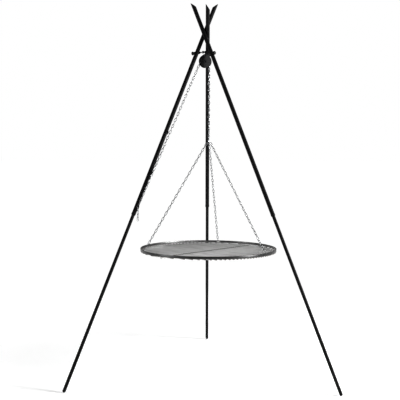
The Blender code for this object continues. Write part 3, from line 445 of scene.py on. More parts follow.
def link_normals(points, first, last=None):
    """A quarter turn from link to link, with what is left over spread along the run."""
    before = (points[1] - points[0]).normalized()
    normal = (first - before * first.dot(before)).normalized()
    turns = []
    for start, end in zip(points, points[1:]):
        along = (end - start).normalized()
        normal = before.rotation_difference(along) @ normal
        turns.append((normal, along))
        normal = along.cross(normal)
        before = along
    rest = 0.0
    if last is not None:
        normal, along = turns[-1]
        wanted = (last - along * last.dot(along)).normalized()
        rest = np.arctan2(along.dot(normal.cross(wanted)), normal.dot(wanted))
        rest -= round(rest / pi) * pi
    share = rest / max(len(turns) - 1, 1)
    return [Matrix.Rotation(share * i, 3, a) @ n for i, (n, a) in enumerate(turns)]


def chain_of(points, normals, sizes):
    """A link between each two neighbouring points. A link is wire on a long round path, two half
    circles joined by straights, with six points at each end and five round the wire."""
    skin = Skin()
    side = (sizes.width - sizes.wire) / 2
    for start, end, normal in zip(points, points[1:], normals):
        along = (end - start).normalized()
        flat = (normal - along * normal.dot(along)).normalized()
        reach = ((end - start).length + sizes.play + sizes.wire) / 2 - side
        top = arc((0, reach), side, 0, pi, 5)
        axes = placed((start + end) / 2, flat, along.cross(flat))
        bent_rod(np.vstack([top, -top]), axes, sizes.wire / 2, sides=5, closed=True, skin=skin)
    return skin


# Materials

CLOUD_DETAIL = 5
GRAIN_DETAIL = 2
PATCH_EDGE = (0.44, 0.66)
PATCH_SHARE = 0.6
# Share of the rods' heat tint, and of the painted shade on the rim's outer face, mixed into a
# finish.
TINT_AND_SHADE_SHARE = 0.75
END_TINT = 0.016
BAR_TINT = (0.013, 0.004)
# Width of the step into the painted shade on the rim's outer face.
BAND_SHADE_STEP = 0.0005


def set_inputs(tree, node, values):
    """Links each named or numbered input to a socket, or gives it a value."""
    for name, value in values.items():
        if isinstance(value, bpy.types.NodeSocket):
            tree.links.new(value, node.inputs[name])
        else:
            node.inputs[name].default_value = value


def add_node(tree, kind, values, **settings):
    node = tree.nodes.new(kind)
    for name, value in settings.items():
        setattr(node, name, value)
    set_inputs(tree, node, values)
    return node


def math_node(tree, operation, first, second):
    values = {0: first, 1: second}
    return add_node(tree, "ShaderNodeMath", values, operation=operation).outputs[0]


def noise(tree, vector, scale, detail):
    values = {"Vector": vector, "Scale": scale, "Detail": detail}
    return add_node(tree, "ShaderNodeTexNoise", values).outputs[0]


def smooth_step(tree, value, low, high, start=0.0, end=1.0):
    """Start below low, end above high, and a smooth step between."""
    values = {"Value": value, "From Min": low, "From Max": high, "To Min": start, "To Max": end}
    step = add_node(tree, "ShaderNodeMapRange", values, interpolation_type="SMOOTHSTEP")
    return step.outputs["Result"]


def mix_colour(tree, share, first, second):
    values = {"Factor": share, "A": first, "B": second}
    return add_node(tree, "ShaderNodeMix", values, data_type="RGBA").outputs["Result"]


def node_group(name, inputs, outputs):
    """A shader node group, its input node's sockets and its output node."""
    group = bpy.data.node_groups.new(name, "ShaderNodeTree")
    for direction, sockets in (("INPUT", inputs), ("OUTPUT", outputs)):
        for socket, kind in sockets.items():
            group.interface.new_socket(socket, in_out=direction, socket_type=f"NodeSocket{kind}")
    given = group.nodes.new("NodeGroupInput").outputs
    return group, given, group.nodes.new("NodeGroupOutput")


def patchy_group():
    """Two colours and two roughnesses mixed in soft patches, with a fine grain for height."""
    inputs = {"Vector": "Vector", "Main": "Color", "Patch": "Color"}
    for name in ("Patch scale", "Grain scale", "Smooth", "Rough"):
        inputs[name] = "Float"
    outputs = {"Color": "Color", "Roughness": "Float", "Height": "Float"}
    group, given, last = node_group("Patchy finish", inputs, outputs)
    cloud = noise(group, given["Vector"], given["Patch scale"], CLOUD_DETAIL)
    grain = noise(group, given["Vector"], given["Grain scale"], GRAIN_DETAIL)
    patches = smooth_step(group, cloud, *PATCH_EDGE)
    share = math_node(group, "MULTIPLY", math_node(group, "ADD", patches, grain), PATCH_SHARE)
    span = math_node(group, "SUBTRACT", given["Rough"], given["Smooth"])
    rise = math_node(group, "MULTIPLY", span, share)
    results = {
        "Color": mix_colour(group, share, given["Main"], given["Patch"]),
        "Roughness": math_node(group, "ADD", given["Smooth"], rise),
        "Height": grain,
    }
    set_inputs(group, last, results)
    return group


def ring_group():
    """A step between two distances from an upright axis."""
    inputs = {"Vector": "Vector", "Inner": "Float", "Outer": "Float"}
    group, given, last = node_group("Radial step", inputs, {"Mask": "Float"})
    values = {0: given["Vector"], 1: (1, 1, 0)}
    flat = add_node(group, "ShaderNodeVectorMath", values, operation="MULTIPLY")
    size = add_node(group, "ShaderNodeVectorMath", {0: flat.outputs[0]}, operation="LENGTH")
    mask = smooth_step(group, size.outputs["Value"], given["Inner"], given["Outer"])
    set_inputs(group, last, {"Mask": mask})
    return group


def from_group(tree, name, values):
    return add_node(tree, "ShaderNodeGroup", values, node_tree=GROUPS[name]).outputs


def object_place(tree, centre=(0, 0, 0), stretch=(1, 1, 1), turn=0.0):
    """Object coordinates from a centre, turned about Z and stretched."""
    place = tree.nodes.new("ShaderNodeTexCoord").outputs["Object"]
    values = {"Vector": place, "Location": centre, "Rotation": (0, 0, turn), "Scale": stretch}
    return add_node(tree, "ShaderNodeMapping", values, vector_type="TEXTURE").outputs["Vector"]


def radial_step(tree, vector, inner, outer):
    return from_group(tree, "ring", {"Vector": vector, "Inner": inner, "Outer": outer})["Mask"]


def shaded_material(name):
    material = bpy.data.materials.new(name)
    material.use_nodes = True
    tree = material.node_tree
    return material, tree, tree.nodes["Principled BSDF"]


def finish(name, main, patch, scales, roughness, metallic=1, relief=(0.15, 0.0002), specular=0.5,
           **place):
    """Material fed by the patchy group: two colours, the scales of patches and grain, the least
    and greatest roughness, and the strength and depth of the grain's relief."""
    material, tree, shader = shaded_material(name)
    values = {
        "Vector": object_place(tree, **place),
        "Main": (*main, 1),
        "Patch": (*patch, 1),
        "Patch scale": scales[0],
        "Grain scale": scales[1],
        "Smooth": roughness[0],
        "Rough": roughness[1],
    }
    patchy = from_group(tree, "patchy", values)
    values = {"Height": patchy["Height"], "Strength": relief[0], "Distance": relief[1]}
    bump = add_node(tree, "ShaderNodeBump", values)
    values = {
        "Base Color": patchy["Color"],
        "Roughness": patchy["Roughness"],
        "Normal": bump.outputs["Normal"],
        "Metallic": metallic,
        "Specular IOR Level": specular,
    }
    set_inputs(tree, shader, values)
    return material


def add_tint_and_shade(material, tint, inner, outer, **place):
    """Mixes a colour into a finish from the inner to the outer distance of an upright axis, which a
    large stretch along Y turns into an upright plane: the rods' heat tint, and the painted shade on
    the rim's outer face."""
    tree = material.node_tree
    shader = tree.nodes["Principled BSDF"]
    source = shader.inputs["Base Color"].links[0].from_socket
    mask = radial_step(tree, object_place(tree, **place), inner, outer)
    share = math_node(tree, "MULTIPLY", mask, TINT_AND_SHADE_SHARE)
    tree.links.new(mix_colour(tree, share, source, (*tint, 1)), shader.inputs["Base Color"])


GROUPS = {}
MATERIALS = {}


def make_finishes(colours, grate):
    """The heat tint darkens the rods' ends and a line over the support bar, and a radial step
    paints shade on the rim's outer face, which is the same steel as the rim's inside."""
    GROUPS["patchy"] = patchy_group()
    GROUPS["ring"] = ring_group()
    hub = joint_point("grate_spin")
    centre = (hub.x, hub.y, 0)
    edge = grate.diameter / 2
    coat = finish(
        "Black coat", colours.coat, colours.coat_worn, (14, 1400), (0.40, 0.52),
        metallic=0, relief=(0.10, 0.0002), specular=0.08,
    )
    plastic = finish(
        "Black plastic", colours.plastic, colours.plastic_worn, (60, 2400), (0.40, 0.56),
        metallic=0, specular=0.15,
    )
    zinc = finish(
        "Bright zinc", colours.zinc, colours.zinc_dull, (120, 1600), (0.20, 0.42),
        relief=(0.10, 0.0002),
    )
    rod = finish(
        "Rod steel", colours.rod, colours.rod_dark, (26, 900), (0.34, 0.52),
        centre=centre, stretch=(4, 1, 1), turn=grate.rod_azimuth,
    )
    add_tint_and_shade(rod, colours.tint, edge - END_TINT, edge, centre=centre)
    add_tint_and_shade(
        rod, colours.tint, *BAR_TINT,
        centre=centre, stretch=(1, 1000, 1), turn=grate.rod_azimuth,
    )
    band = finish(
        "Band steel", colours.band, colours.band_dark, (30, 700), (0.25, 0.42),
        stretch=(1, 1, 0.2),
    )
    # Painted shade: the rim's outer face is darkened from the middle of the band outwards, standing
    # in for the dim light on its front.
    outside = edge - grate.rim_plate / 2
    add_tint_and_shade(band, colours.band_outside_painted_shade, outside, outside + BAND_SHADE_STEP, centre=centre)
    support = finish("Support steel", colours.rod_dark, colours.band, (40, 700), (0.40, 0.60))
    weld = finish(
        "Weld metal", colours.weld, colours.tint, (300, 1500), (0.40, 0.62), relief=(0.35, 0.0004)
    )
    MATERIALS.update(
        coat=coat, plastic=plastic, zinc=zinc, rod=rod, band=band, support=support, weld=weld
    )


def make_piece(name, shape, finish_name, body, node=None, sharp=38):
    """Puts a skin or mesh into the scene at the origin, gives it its finish, ties it to its body
    and hides its node.
    """
    mesh = shape.mesh(name) if isinstance(shape, Skin) else shape
    mesh.materials.append(MATERIALS[finish_name])
    mesh.shade_smooth()
    mesh.set_sharp_from_angle(angle=radians(sharp))
    piece = bpy.data.objects.new(name, mesh)
    bpy.context.scene.collection.objects.link(piece)
    if node:
        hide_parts(node)
    if body:
        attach(piece, body)
    return piece


# Legs

TUBE_EDGE = 0.0003
TIP_RUN = 0.004
PLUG_EDGE = 0.001
BOLT_BEND = 0.002
SADDLE_EDGE = 0.0006
NUT_CHAMFER = 0.0006
CAP_EDGE = 0.0006
CAP_FACE = 0.85
CAP_CHAMFER = 0.15
CAP_DOME = 0.45


class LegLine:
    """A leg's axis and its eye bolt's line, read from the frame's joints and lower tube."""

    def __init__(self, name, legs, bolts):
        side = name.lower()
        self.name = name
        self.body = f"{side}_leg"
        self.lower_body = f"{side}_lower_leg"
        self.along = -joint_axis(f"{side}_leg_plug")
        low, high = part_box(f"Leg_{name}_Lower_Tube")
        middle = (low + high) / 2
        self.foot = middle - self.along * (middle.z / self.along.z)
        self.ring_point = joint_point(f"{side}_leg_fold")
        self.tilt = acos(self.along.z)
        bolt_distance = (self.ring_point.z - bolts.drop) / self.along.z
        self.tip = bolt_distance + (legs.rear_tip if name == "Rear" else legs.front_tip)
        self.bolt_centre = self.point(bolt_distance)
        self.bolt_along = (self.bolt_centre - self.ring_point).normalized()
        self.bolt_reach = (self.bolt_centre - self.ring_point).length

    def point(self, distance):
        return self.foot + self.along * distance

    def square(self, direction):
        return (direction - self.along * direction.dot(self.along)).normalized()


def legs_of(scene):
    return [LegLine(name, scene.grill_legs, scene.grill_bolts) for name in LEG_NAMES]


def make_leg_piece(leg, part, skin, finish_name, body=None, sharp=38):
    """A piece that rides its leg and bears the name of its part there, as its node does."""
    name = f"{leg.body}_{part.lower()}"
    return make_piece(name, skin, finish_name, body or leg.body, f"Leg_{leg.name}_{part}", sharp)


def add_upper_tube(leg, sizes):
    """Outline of radius, height and slant share, turned about the leg. Height gains the slant
    share times the point's distance towards the tip's point, less the radius, over the tangent
    of the cut."""
    outer = sizes.upper / 2
    bore = outer - sizes.wall
    proud = outer + sizes.bead
    end = leg.tip - sizes.shown
    stop_end = sizes.socket + sizes.stop_length
    outline = [
        (bore, 0, 0),
        (outer, 0, 0),
        (proud, sizes.bead, 0),
        (proud, sizes.bead_length, 0),
        (outer, sizes.bead_length + 2 * sizes.bead, 0),
        (outer, end - TIP_RUN, 1),
        (outer, end, 1),
        (bore, end, 1),
        (bore, stop_end, 0),
        (sizes.stop_bore / 2, stop_end, 0),
        (sizes.stop_bore / 2, sizes.socket, 0),
        (bore, sizes.socket, 0),
    ]
    outline = eased(outline, TUBE_EDGE, closed=True)
    turn = round_about(64)
    radius = outline[:, :1]
    slant = (radius * np.cos(turn) - outer) / tan(sizes.tip_cut)
    points = around(radius, turn, outline[:, 1:2] + outline[:, 2:3] * slant)
    axes = placed(leg.point(sizes.shown), leg.along, horizontal(TIP_POINT_AZIMUTHS[leg.name]))
    make_leg_piece(leg, "Upper_Tube", ring_surface(points, axes), "coat")


def add_lower_tube(leg, sizes):
    """Closed ring outline turned about the leg."""
    outer = sizes.lower / 2
    end = sizes.shown + sizes.socket - CLEARANCE
    outline = wall(outer - sizes.wall, outer, outer / leg.along.z, end, TUBE_EDGE)
    skin = lathe(outline, placed(leg.foot, leg.along, UP), sides=64, closed=True)
    make_leg_piece(leg, "Lower_Tube", skin, "coat", leg.lower_body)


def add_foot_plug(leg, sizes):
    """Half ball under a shank: radius the sine and height the cosine of the polar angle."""
    outer = sizes.lower / 2
    start = outer / leg.along.z
    seat = start - CLEARANCE
    dome = outer - CLEARANCE / leg.along.z
    polar = np.radians([3, 12, leg.tilt * 180 / pi, 35, 46, 57, 68, 79, 90])
    ball = np.stack([dome * np.sin(polar), seat - dome * np.cos(polar)], axis=1)
    shank = outer - sizes.wall - CLEARANCE
    depth = start + sizes.plug_depth
    tail = [(shank, seat), (shank, depth - PLUG_EDGE), (shank - PLUG_EDGE, depth)]
    skin = lathe(np.vstack([ball, tail]), placed(leg.foot, leg.along, UP))
    make_leg_piece(leg, "Foot_Plug", skin, "plastic", leg.lower_body)


class GRILL_OT_legs(bpy.types.Operator):
    """Three upper tubes with slanting tips, three lower tubes and their foot plugs"""

    bl_idname = "grill.legs"
    bl_label = "Legs"

    def execute(self, context):
        sizes = context.scene.grill_legs
        for leg in legs_of(context.scene):
            add_upper_tube(leg, sizes)
            add_lower_tube(leg, sizes)
            add_foot_plug(leg, sizes)
        return {"FINISHED"}


def add_eye_bolt(leg, sizes):
    """A circle carried along an open eye and a straight shank."""
    gap = sizes.eye_gap
    eye = arc((0, 0), sizes.eye, gap, 2 * pi - gap, 28)
    neck = sizes.eye + sizes.bolt
    end = leg.bolt_reach + sizes.outer_reach + sizes.cap_hole - sizes.bolt / 2
    path = np.vstack([eye, eased([eye[-1], (neck, 0), (end, 0)], BOLT_BEND, steps=6)[1:]])
    axes = placed(leg.ring_point, leg.bolt_along.cross(UP), leg.bolt_along)
    make_leg_piece(leg, "Eye_Bolt", bent_rod(path, axes, sizes.bolt / 2, sides=16), "coat")


def add_saddle(leg, name, direction, reach, legs, sizes):
    """A ring whose near face lies on the tube: its height is the larger root of the equation
    that puts a point at the tube's radius from the tube's axis."""
    axes = placed(leg.bolt_centre, direction, UP)
    ax, ay, az = axes[1] @ np.array(leg.along)
    tube = legs.upper / 2 + CLEARANCE
    bore = sizes.bolt / 2 + CLEARANCE
    outer = sizes.saddle / 2
    shoulder = outer - SADDLE_EDGE
    near = [(bore, 0, 1), (shoulder, 0, 1), (outer, SADDLE_EDGE, 1)]
    far = [(outer, reach - SADDLE_EDGE, 0), (shoulder, reach, 0), (bore, reach, 0)]
    rows = np.array(near + far)
    radius = rows[:, :1]
    turn = round_about(48)
    lean = radius * np.cos(turn) * ax + radius * np.sin(turn) * ay
    inside = lean**2 * az**2 - (1 - az**2) * (radius**2 - lean**2 - tube**2)
    on_tube = (lean * az + np.sqrt(inside)) / (1 - az**2)
    points = around(radius, turn, rows[:, 1:2] + rows[:, 2:3] * on_tube)
    make_leg_piece(leg, f"{name}_Saddle", ring_surface(points, axes), "plastic")


def add_inner_nut(leg, sizes):
    """Hexagon radius cut down by a circle near both faces, which chamfers the corners."""
    flat = sizes.nut_width / 2
    corner = flat / cos(pi / 6)
    bore = sizes.bolt / 2 + CLEARANCE
    turn = round_about(72)
    hexagon = flat / np.cos((turn + pi / 6) % (pi / 3) - pi / 6)
    seat = sizes.inner_reach + CLEARANCE
    top = seat + sizes.nut_height
    limit = np.array([bore, flat, corner, corner, flat, bore])
    level = np.array([seat, seat, seat + NUT_CHAMFER, top - NUT_CHAMFER, top, top])
    points = around(np.minimum(limit[:, None], hexagon), turn, level[:, None])
    axes = placed(leg.bolt_centre, -leg.bolt_along, UP)
    make_leg_piece(leg, "Inner_Nut", ring_surface(points, axes), "coat", sharp=25)


def add_cap_nut(leg, sizes):
    """A quarter of an ellipse over a short side wall, turned about the bolt."""
    outer = sizes.cap / 2
    seat = sizes.outer_reach + CLEARANCE
    rise = sizes.cap_length * CAP_DOME
    side_top = seat + sizes.cap_length - rise
    side_foot = seat + sizes.cap_length * CAP_CHAMFER
    lean = np.radians(np.linspace(0, 86, 9))
    dome = np.stack([outer * np.cos(lean), side_top + rise * np.sin(lean)], axis=1)
    hole = sizes.bolt / 2 + CLEARANCE
    skirt = [(hole, seat), (outer * CAP_FACE, seat), (outer, side_foot), (outer, side_top)]
    outline = np.vstack([(hole, seat + sizes.cap_hole), eased(skirt, CAP_EDGE)[:-1], dome])
    skin = lathe(outline, placed(leg.bolt_centre, leg.bolt_along, UP))
    make_leg_piece(leg, "Cap_Nut", skin, "plastic")


class GRILL_OT_bolts(bpy.types.Operator):
    """The eye bolts through the legs, with their saddles, nuts and domed cap nuts"""

    bl_idname = "grill.bolts"
    bl_label = "Eye bolts"

    def execute(self, context):
        sizes = context.scene.grill_bolts
        legs = context.scene.grill_legs
        for leg in legs_of(context.scene):
            add_eye_bolt(leg, sizes)
            add_saddle(leg, "Outer", leg.bolt_along, sizes.outer_reach, legs, sizes)
            add_saddle(leg, "Inner", -leg.bolt_along, sizes.inner_reach, legs, sizes)
            add_inner_nut(leg, sizes)
            add_cap_nut(leg, sizes)
        return {"FINISHED"}


# Head and pulley

CHEEK_EDGE = 0.0007
HANGER_EDGE = 0.0006
STEM_GAP = 0.0005
RIVET_TOP = 0.06


class Pulley:
    """The sheave's centre, its plane and the heights measured from it."""

    def __init__(self, sizes):
        self.centre = joint_point("sheave_turn")
        self.across = joint_axis("sheave_turn")
        self.along = horizontal(sizes.azimuth)
        self.ring_centre = self.centre + UP * sizes.drop
        self.pin_height = sizes.drop - sizes.pin_drop
        self.half = sizes.groove_width / 2 + sizes.flange
        self.cheek_inner = self.half + sizes.side_play
        self.cheek_outer = self.cheek_inner + sizes.cheek_plate

    def axes(self, height=0.0):
        return placed(self.centre + UP * height, self.across, self.along)

    def point(self, turn, radius):
        return self.centre + self.along * (radius * cos(turn)) + UP * (radius * sin(turn))


class GRILL_OT_head(bpy.types.Operator):
    """The head ring and the tee that hangs the pulley from it"""

    bl_idname = "grill.head"
    bl_label = "Head ring and hanger"

    def execute(self, context):
        sizes = context.scene.grill_pulley
        pulley = Pulley(sizes)
        ring_path = np.array(pulley.ring_centre) + around(sizes.ring, round_about(96), 0)
        ring = swept(ring_path, UP, sizes.ring_wire / 2, sides=20, closed=True)
        make_piece("head_ring", ring, "coat", "head", "Head_Ring")

        half = sizes.lug_plate / 2
        lug = wall(sizes.pin / 2 + CLEARANCE, sizes.lug, -half, half, HANGER_EDGE)
        hanger = lathe(lug, pulley.axes(pulley.pin_height), sides=40, closed=True)
        bar_height = sizes.ring_wire / 2 + CLEARANCE + sizes.bar / 2
        middle = pulley.ring_centre + UP * bar_height
        reach = horizontal(sizes.azimuth + sizes.bar_turn) * (sizes.bar_length - sizes.bar) / 2
        swept([middle - reach, middle + reach], UP, sizes.bar / 2, sides=20, skin=hanger)
        stem_foot = pulley.ring_centre - UP * (sizes.pin_drop - sizes.lug)
        stem_top = middle - UP * STEM_GAP
        swept([stem_foot, stem_top], pulley.along, sizes.bar / 2, sides=20, skin=hanger)
        make_piece("pulley_hanger", hanger, "coat", "head", "Hanger")
        return {"FINISHED"}


def rivet_outline(face, height, shank, head):
    """Two low round heads: their profile is a quarter of an ellipse, with a small flat top."""
    lean = np.radians(np.linspace(8, 90, 6))
    dome = np.stack([head * np.cos(lean), face + height * np.sin(lean)], axis=1)
    upper = np.vstack([(shank, face), (head, face), dome])
    outline = np.vstack([upper[::-1] * (1, -1), upper])
    outline[[0, -1], 0] = head * RIVET_TOP
    return outline


class GRILL_OT_pulley(bpy.types.Operator):
    """The pulley's two cheeks, its pin, its axle and the grooved sheave"""

    bl_idname = "grill.pulley"
    bl_label = "Pulley"

    def execute(self, context):
        sizes = context.scene.grill_pulley
        pulley = Pulley(sizes)
        lean = asin((sizes.cheek - sizes.cheek_top) / pulley.pin_height)
        large = arc((0, 0), sizes.cheek, pi - lean, 2 * pi + lean, 48)
        small = arc((0, pulley.pin_height), sizes.cheek_top, lean, pi - lean, 14)
        outline = np.vstack([large, small])
        for name, side in (("Front", 1), ("Back", -1)):
            low, high = sorted((side * pulley.cheek_inner, side * pulley.cheek_outer))
            cheek = flat_plate(outline, low, high, CHEEK_EDGE, pulley.axes())
            node = f"Pulley_Cheek_{name}"
            make_piece(node.lower(), cheek, "coat", "head", node)
        face = pulley.cheek_outer + CLEARANCE
        rivets = (
            ("Pulley_Pin", pulley.pin_height, sizes.pin, sizes.pin_head),
            ("Pulley_Axle", 0.0, sizes.axle, sizes.axle_head),
        )
        for node, height, shank, head in rivets:
            outline = rivet_outline(face, sizes.head_height, shank / 2, head / 2)
            make_piece(node.lower(), lathe(outline, pulley.axes(height)), "coat", "head", node)
        outer = sizes.sheave / 2
        half = sizes.groove_width / 2
        bore = sizes.axle / 2 + CLEARANCE
        across = np.linspace(-1, 1, 13)
        corner = half * sizes.groove_corner
        groove = np.stack([sizes.groove / 2 + corner * across**6, half * across], axis=1)
        flange = np.array([(outer, half), (outer, pulley.half), (bore, pulley.half)])
        outline = np.vstack([flange[::-1] * (1, -1), groove, flange])
        sheave = lathe(outline, pulley.axes(), sides=72, closed=True)
        make_piece("sheave_wheel", sheave, "coat", "sheave", "Sheave")
        return {"FINISHED"}


# Height chain and the leg's hooks

CHAIN_SHARP = 80
HOOK_WELD = 1.1
HOOK_WELD_SINK = 0.0004


def hook_places(scene):
    """The left leg, the way its hooks stand out, and their distances along it."""
    sizes = scene.grill_chain
    leg = LegLine("Left", scene.grill_legs, scene.grill_bolts)
    outward = leg.square(horizontal(sizes.hook_azimuth))
    rises = (sizes.hook_upper, sizes.hook_middle, sizes.hook_lower)
    return leg, outward, [scene.grill_legs.shown + rise for rise in rises]


class GRILL_OT_hooks(bpy.types.Operator):
    """Three bent-rod hooks welded to the left leg for the height chain"""

    bl_idname = "grill.hooks"
    bl_label = "Leg hooks"

    def execute(self, context):
        sizes = context.scene.grill_chain
        tube = context.scene.grill_legs.upper / 2
        rod = sizes.hook_rod / 2
        leg, outward, positions = hook_places(context.scene)
        bend_centre = (sizes.hook_reach - sizes.hook_bend, -sizes.hook_bend)
        bend = arc(bend_centre, sizes.hook_bend, pi / 2, 0, 10)
        end = (sizes.hook_reach, -sizes.hook_finger + rod)
        path = np.vstack([(tube + CLEARANCE + rod, 0), bend, end])
        run = np.linspace(0, 1, 6)
        rise = rod * HOOK_WELD
        weld = np.stack([rod + rise * (1 - run) ** 2, rise * run - HOOK_WELD_SINK], axis=1)
        weld = np.vstack([weld, (rod * 0.5, rise)])
        for number, position in enumerate(positions, start=1):
            origin = leg.point(position)
            axes = placed(origin, outward.cross(leg.along), outward)
            hook = bent_rod(path, axes, rod, sides=16)
            foot_axes = placed(origin + outward * tube, outward, leg.along)
            lathe(weld, foot_axes, sides=24, skin=hook)
            make_piece(f"leg_hook_{number}", hook, "coat", "left_leg", f"Chain_Hook_{number}")
        return {"FINISHED"}


class GRILL_OT_height_chain(bpy.types.Operator):
    """The height chain: on the sheave, down to the leg's hook, its tail, and down to the hub"""

    bl_idname = "grill.height_chain"
    bl_label = "Height chain"

    def execute(self, context):
        scene = context.scene
        sizes = scene.grill_chain
        hub = scene.grill_hub
        pulley = Pulley(scene.grill_pulley)
        leg, outward, positions = hook_places(context.scene)
        seat = leg.point(positions[-1]) + outward * sizes.hook_chain
        line = scene.grill_pulley.line
        away = seat - pulley.centre
        along = away.dot(pulley.along)
        leaving = np.arctan2(away.z, along) % (2 * pi) - acos(line / sqrt(along**2 + away.z**2))
        count = round(leaving * line / sizes.pitch)
        over = [pulley.point(leaving * index / count, line) for index in range(count + 1)]
        pull = (seat - over[-1]).normalized()
        tail_top = joint_point("chain_tail_swing")
        chain_end = tail_top + pull * sizes.tail_play

        main_top = joint_point("grate_swing_sideways")
        centre = joint_point("grate_spin")
        lug_height = hub.plate / 2 + CLEARANCE + hub.neck + hub.lug
        wire_seat = sqrt((hub.lug_hole / 2 * cos(pi / 12)) ** 2 - (sizes.wire / 2) ** 2)
        main_end = centre + UP * (lug_height + wire_seat - CLEARANCE + sizes.play / 2)
        main = strand(main_end, main_top, sizes.pitch)
        leg_points = strand(over[-1] - pull * sizes.run_play, chain_end, sizes.pitch)
        askew = (pulley.along - pulley.across).normalized()
        main_normals = link_normals(main, pulley.along, askew)
        over_normals = link_normals(main[-2:-1] + over, main_normals[-1])[1:]
        onward = over[-2:-1] + leg_points
        leg_normals = link_normals(onward, over_normals[-1], outward)[1:]
        tail = [tail_top - UP * sizes.pitch * index for index in range(sizes.tail_links + 1)]
        tail_normals = link_normals(tail, UP.cross(outward))
        swing = [main[-2], main[-1] + UP * sizes.run_play]
        runs = (
            ("chain_over_sheave", over, over_normals, "head", "Chain_Over_Sheave"),
            ("chain_swing_link", swing, main_normals[-1:], "swing_link", "Swing_Link"),
            ("chain_tail", tail, tail_normals, "chain_tail", "Height_Chain_Tail"),
            ("chain_to_leg", leg_points, leg_normals, None, "Height_Chain_Leg_Side"),
            ("chain_to_hub", main[:-1], main_normals, None, "Height_Chain_Main"),
        )
        made = {}
        for name, points, normals, body, node in runs:
            links = chain_of(points, normals, sizes)
            made[name] = make_piece(name, links, "zinc", body, node, CHAIN_SHARP)
        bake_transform(made["chain_to_leg"])
        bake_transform(made["chain_to_hub"])
        return {"FINISHED"}


# Hub

SWIVEL_EDGE = 0.0004
LUG_EDGE = 0.0005
PLATE_EDGE = 0.0003
NECK_RISE = 0.0012


def pierced_plate(name, loops, half, edge):
    """Flat face between closed loops of points, given its thickness and a small bevel."""
    bm = bmesh.new()
    for loop in loops:
        corners = [bm.verts.new((x, y, 0)) for x, y in loop]
        for start, end in zip(corners, corners[1:] + corners[:1]):
            bm.edges.new((start, end))
    bmesh.ops.triangle_fill(bm, edges=bm.edges[:], use_beauty=True, normal=(0, 0, 1))
    grown = bmesh.ops.extrude_face_region(bm, geom=bm.faces[:])["geom"]
    moved = [part for part in grown if isinstance(part, bmesh.types.BMVert)]
    bmesh.ops.translate(bm, vec=(0, 0, 2 * half), verts=moved)
    bmesh.ops.translate(bm, vec=(0, 0, -half), verts=bm.verts)
    bmesh.ops.recalc_face_normals(bm, faces=bm.faces)
    rims = [e for e in bm.edges if e.is_manifold and e.calc_face_angle(0) > radians(60)]
    bmesh.ops.bevel(bm, geom=rims, offset=edge, segments=2, affect="EDGES", profile=0.5)
    mesh = bpy.data.meshes.new(name)
    bm.to_mesh(mesh)
    bm.free()
    return mesh


class GRILL_OT_hub(bpy.types.Operator):
    """The hub plate that the three chains hang from, and the swivel in its bore"""

    bl_idname = "grill.hub"
    bl_label = "Hub"

    def execute(self, context):
        sizes = context.scene.grill_hub
        pulley = Pulley(context.scene.grill_pulley)
        centre = joint_point("grate_spin")
        plate = sizes.plate / 2 + CLEARANCE
        stem = sizes.stem / 2
        head = sizes.head / 2
        collar = sizes.collar / 2
        top = plate + sizes.neck
        outline = [
            (head * 0.4, -plate - sizes.head_height),
            (head * 0.7, -plate - sizes.head_height),
            (head, -plate - sizes.head_height * 0.4),
            (head, -plate),
            (stem, -plate),
            (stem, plate),
            (collar, plate),
            (collar, plate + sizes.neck * 0.4),
            (stem * 0.8, plate + sizes.neck * 0.9),
            (stem * 0.8, top + NECK_RISE),
        ]
        axes = placed(centre, UP, pulley.along)
        swivel = lathe(eased(outline, SWIVEL_EDGE), axes, sides=40)
        half = sizes.lug_plate / 2
        lug = wall(sizes.lug_hole / 2, sizes.lug, -half, half, LUG_EDGE)
        lug_axes = placed(centre + UP * (top + sizes.lug), pulley.across, pulley.along)
        lathe(lug, lug_axes, sides=40, closed=True, skin=swivel)
        make_piece("hub_swivel_eye", swivel, "zinc", "hub_swivel", "Hub_Swivel")

        outer = sizes.web_radius + sizes.web / 2
        hole_circle = sizes.web_radius - sizes.web / 2 - sizes.hole / 2
        loops = [circle((0, 0), outer, 72), circle((0, 0), stem + CLEARANCE, 32)]
        for azimuth in CHAIN_AZIMUTHS.values():
            hole = horizontal(azimuth) * hole_circle
            loops.append(circle(hole.xy, sizes.hole / 2, 24))
        mesh = pierced_plate("hub_plate", loops, sizes.plate / 2, PLATE_EDGE)
        mesh.transform(Matrix.Translation(centre))
        make_piece("hub_plate", mesh, "zinc", "grate", "Hub_Plate")
        return {"FINISHED"}


# Grate

RIM_EDGE = 0.0005
RIM_EYE_BEND = 0.0045
SUPPORT_EDGE = 0.0006
SUPPORT_END = 0.0005

# Welds: half sizes of their beads, and their places

END_WELD = (0.0022, 0.0034, 0.0015)
SIDE_WELD = (0.0014, 0.0024, 0.0013)
EYE_WELD = (0.0020, 0.0034, 0.0032)
END_WELD_INSET = 0.0012
END_WELD_SINK = 0.0002
SIDE_WELD_INSET = 0.004
SIDE_WELD_DROP = 0.0004


def rod_row(sizes, axes):
    """Each rod is a circle carried along its chord, its radius drawn in at both ends. Gives the
    rods, their places across the grate and half their lengths."""
    reach = sizes.diameter / 2 - sizes.rod_inset
    radius = sizes.rod / 2
    count = floor((reach - 2 * sizes.rod) / sizes.rod_pitch)
    offset = np.arange(-count, count + 1) * sizes.rod_pitch
    half = np.sqrt(reach**2 - (np.abs(offset) + radius) ** 2)
    share = np.array([0.5, 0.86, 1.0, 1.0, 0.86, 0.5])
    inset = np.array([0.0, 0.0002, 0.0007, 0.0007, 0.0002, 0.0])
    side = np.array([-1, -1, -1, 1, 1, 1])
    skin = Skin()
    for place, length_half in zip(offset, half):
        along = side * (length_half - inset)
        rod = around(share[:, None] * radius, round_about(12), along[:, None])
        skin.grid(from_local(np.roll(rod, 1, axis=-1) + (0, place, 0), axes))
    return skin, offset, half


